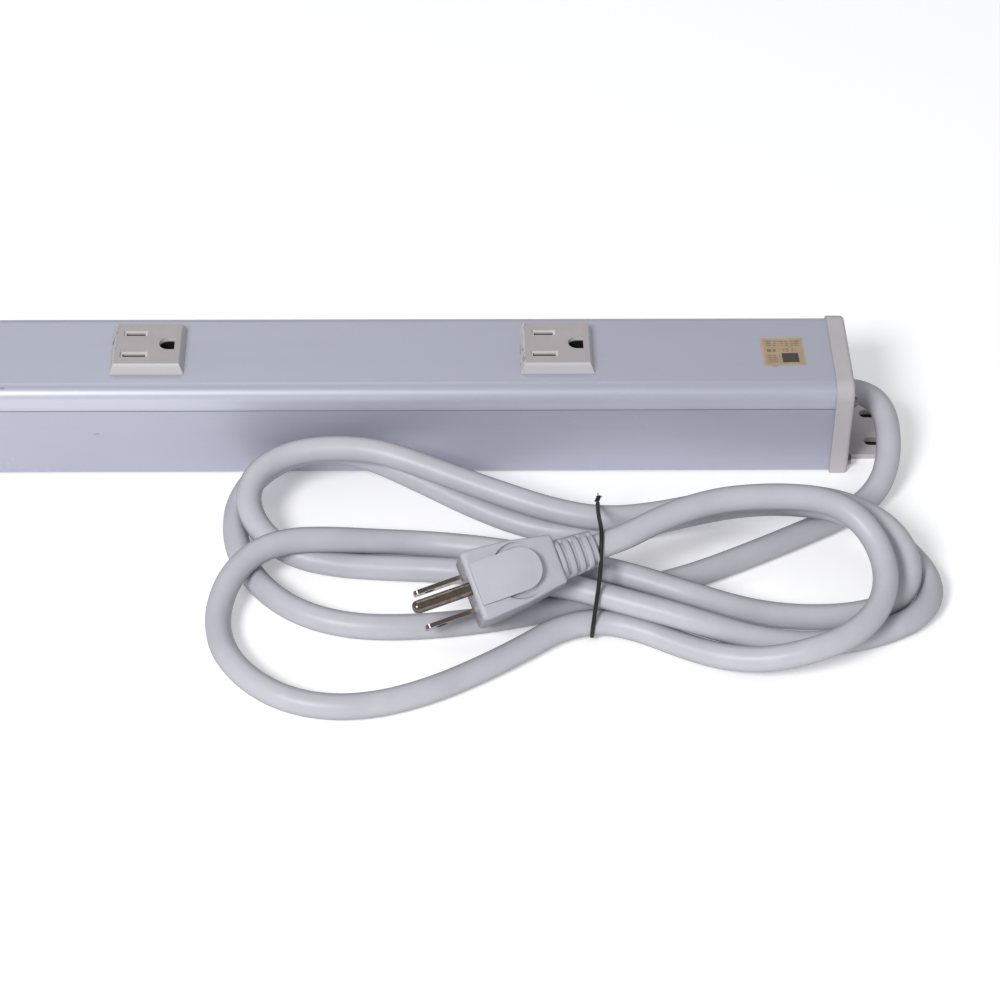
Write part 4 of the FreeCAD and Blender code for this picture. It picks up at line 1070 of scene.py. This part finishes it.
@dataclass
class TwistTie:
    """Black coated wire wrapped round the waist of the hank, its ends twisted together."""

    wire: float = 0.75
    loop: Sequence[Point] = (
        (206.2, -61.0, 2.4), (207.2, -60.6, 7), (208.2, -61.6, 15), (208.1, -64.2, 20.6),
        (207.6, -71.5, 24), (207.2, -85, 31), (207.1, -96.5, 37.4), (207.1, -101.5, 38.6),
        (206.9, -106, 36.6), (206.8, -110, 28), (205.4, -114.4, 17), (204.4, -117.5, 9),
        (204.2, -117, 2.4), (204.4, -112, 0.95), (205.4, -90, 0.95), (206, -66, 0.95),
        (206.2, -62, 1.2))
    twist_start: Point = (207.9, -61.4, 18.4)
    twist_aim: Point = (0.8, 1.6, 1.0)
    twist_turns: float = 1.2

    def twisted_ends(self) -> list[list[Point]]:
        """Give the two ends wound round each other.

        Returns:
            Control points of each end, in millimetres.
        """
        start, aim = Vector(self.twist_start), Vector(self.twist_aim)
        side = aim.cross(Vector((0.0, 0.0, 1.0))).normalized()
        up = side.cross(aim).normalized()
        ends = []
        for phase in (0.0, math.pi):
            points = []
            steps = 12
            for step in range(steps + 1):
                share = step / steps
                angle = phase + share * self.twist_turns * math.tau
                offset = side * math.cos(angle) + up * math.sin(angle)
                points.append(tuple(start + aim * share + offset * self.wire * 0.62))
            ends.append(points)
        return ends

    def build(self) -> None:
        """Build the loop, its twisted ends and the bared wire tips."""
        black = MouldedPlastic("tie_coating", (0.003, 0.003, 0.0035), 0.55, 0.2,
                               (0.1, 0.1, 0.1)).make()
        steel = PlatedMetal("tie_wire", (0.7, 0.7, 0.7), (0.4, 0.38, 0.35), 0.3, 0.4).make()
        loop = sweep("tie_loop", self.loop, self.wire, 3, 8, closed=True)
        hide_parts("twist_tie")
        made = [loop]
        for number, points in enumerate(self.twisted_ends(), 1):
            made.append(sweep("tie_end_%d" % number, points, self.wire * 0.6, 3, 8))
        for piece in made:
            dress(piece, black)
        tips = []
        for number, points in enumerate(self.twisted_ends(), 1):
            last, before = Vector(points[-1]), Vector(points[-2])
            out = (last - before).normalized()
            reach = [tuple(last), tuple(last + out * 0.7), tuple(last + out * 1.3)]
            tip = sweep("tie_tip_%d" % number, reach, 0.28, 3, 8)
            dress(tip, steel)
            tips.append(tip)
        for piece in made + tips:
            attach(piece, "root")
        log.info("tie built")


@dataclass
class Studio:
    """Floor, lights and camera."""

    floor_size: float = 12.0
    eye: Point = (145.68, -898.03, 742.73)
    yaw: float = 1.847
    tilt: float = 40.842
    roll: float = 1.003
    lens: float = 109.6
    sky: float = 0.42
    boxes: Sequence[tuple[str, Point, Point, float, float]] = field(default_factory=lambda: (
        ("softbox_key", (-0.9, -1.7, 1.75), (0.1, -0.05, 0.02), 0.8, 47.0),
        ("softbox_fill", (1.6, -0.9, 1.3), (0.1, -0.03, 0.02), 1.4, 2.0),
        ("softbox_back", (-0.3, 1.6, 2.2), (0.1, 0.0, 0.02), 1.4, 7.0)))

    def floor(self) -> None:
        """Lay the floor with a painted shadow patch under the case."""
        Workpiece.clear_bench()
        bpy.ops.mesh.primitive_plane_add(size=self.floor_size, location=(0.0, 0.0, 0.0))
        sheet = Workpiece("studio_floor")
        low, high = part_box("end_cap_plain")[0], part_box("end_cap_cord")[1]
        middle = ((low.x + high.x) / 2, 0.0, 0.0)
        # Half size of the painted shadow patch, inside the end caps' ears.
        contact = ((high.x - low.x) / 2 - 0.003, 0.0125)
        floor_with_painted_shadow = StudioFloor("floor_pale", shade_centre=middle, shade_half=contact)
        dress(sheet.object, floor_with_painted_shadow.make())

    def lights(self) -> None:
        """Hang the soft lights and set the pale sky."""
        for name, place, target, size, power in self.boxes:
            lamp = bpy.data.lights.new(name, "AREA")
            lamp.shape = "DISK"
            lamp.size = size
            lamp.energy = power
            box = bpy.data.objects.new(name, lamp)
            box.location = place
            aim = Vector(target) - Vector(place)
            box.rotation_euler = aim.to_track_quat("-Z", "Y").to_euler()
            bpy.context.scene.collection.objects.link(box)
        world = bpy.data.worlds.new("studio_sky")
        world.use_nodes = True
        ground = world.node_tree.nodes["Background"]
        ground.inputs["Color"].default_value = (0.97, 0.98, 1.0, 1.0)
        ground.inputs["Strength"].default_value = self.sky
        bpy.context.scene.world = world
        bpy.context.scene.view_settings.view_transform = "Standard"

    def camera(self) -> None:
        """Set up the camera."""
        yaw, tilt, roll = (math.radians(angle) for angle in (self.yaw, self.tilt, self.roll))
        ahead = Vector((math.sin(yaw) * math.cos(tilt), math.cos(yaw) * math.cos(tilt),
                        -math.sin(tilt)))
        level = Vector((math.cos(yaw), -math.sin(yaw), 0.0))
        above = level.cross(ahead)
        right = level * math.cos(roll) + above * math.sin(roll)
        upward = above * math.cos(roll) - level * math.sin(roll)
        lens = bpy.data.cameras.new("studio_camera")
        lens.lens = self.lens
        lens.sensor_width = 36.0
        lens.clip_start = 0.05
        lens.clip_end = 50.0
        camera = bpy.data.objects.new("studio_camera", lens)
        turn = Matrix((right, upward, -ahead)).transposed().to_4x4()
        camera.matrix_world = Matrix.Translation(metres(self.eye)) @ turn
        bpy.context.scene.collection.objects.link(camera)
        bpy.context.scene.camera = camera

    def build(self) -> None:
        """Build the whole studio."""
        self.camera()
        self.floor()
        self.lights()
        log.info("studio ready")


def main() -> None:
    """Build the studio and every sub-assembly in order."""
    logging.basicConfig(level=logging.INFO, format="%(name)s: %(message)s")
    Studio().build()
    plug = Plug()
    pins = plug.build()
    SupplyCord().build(pins)
    TwistTie().build()
    CaseDressing().build()
    OutletRow().build()


if __name__ == "__main__":
    main()
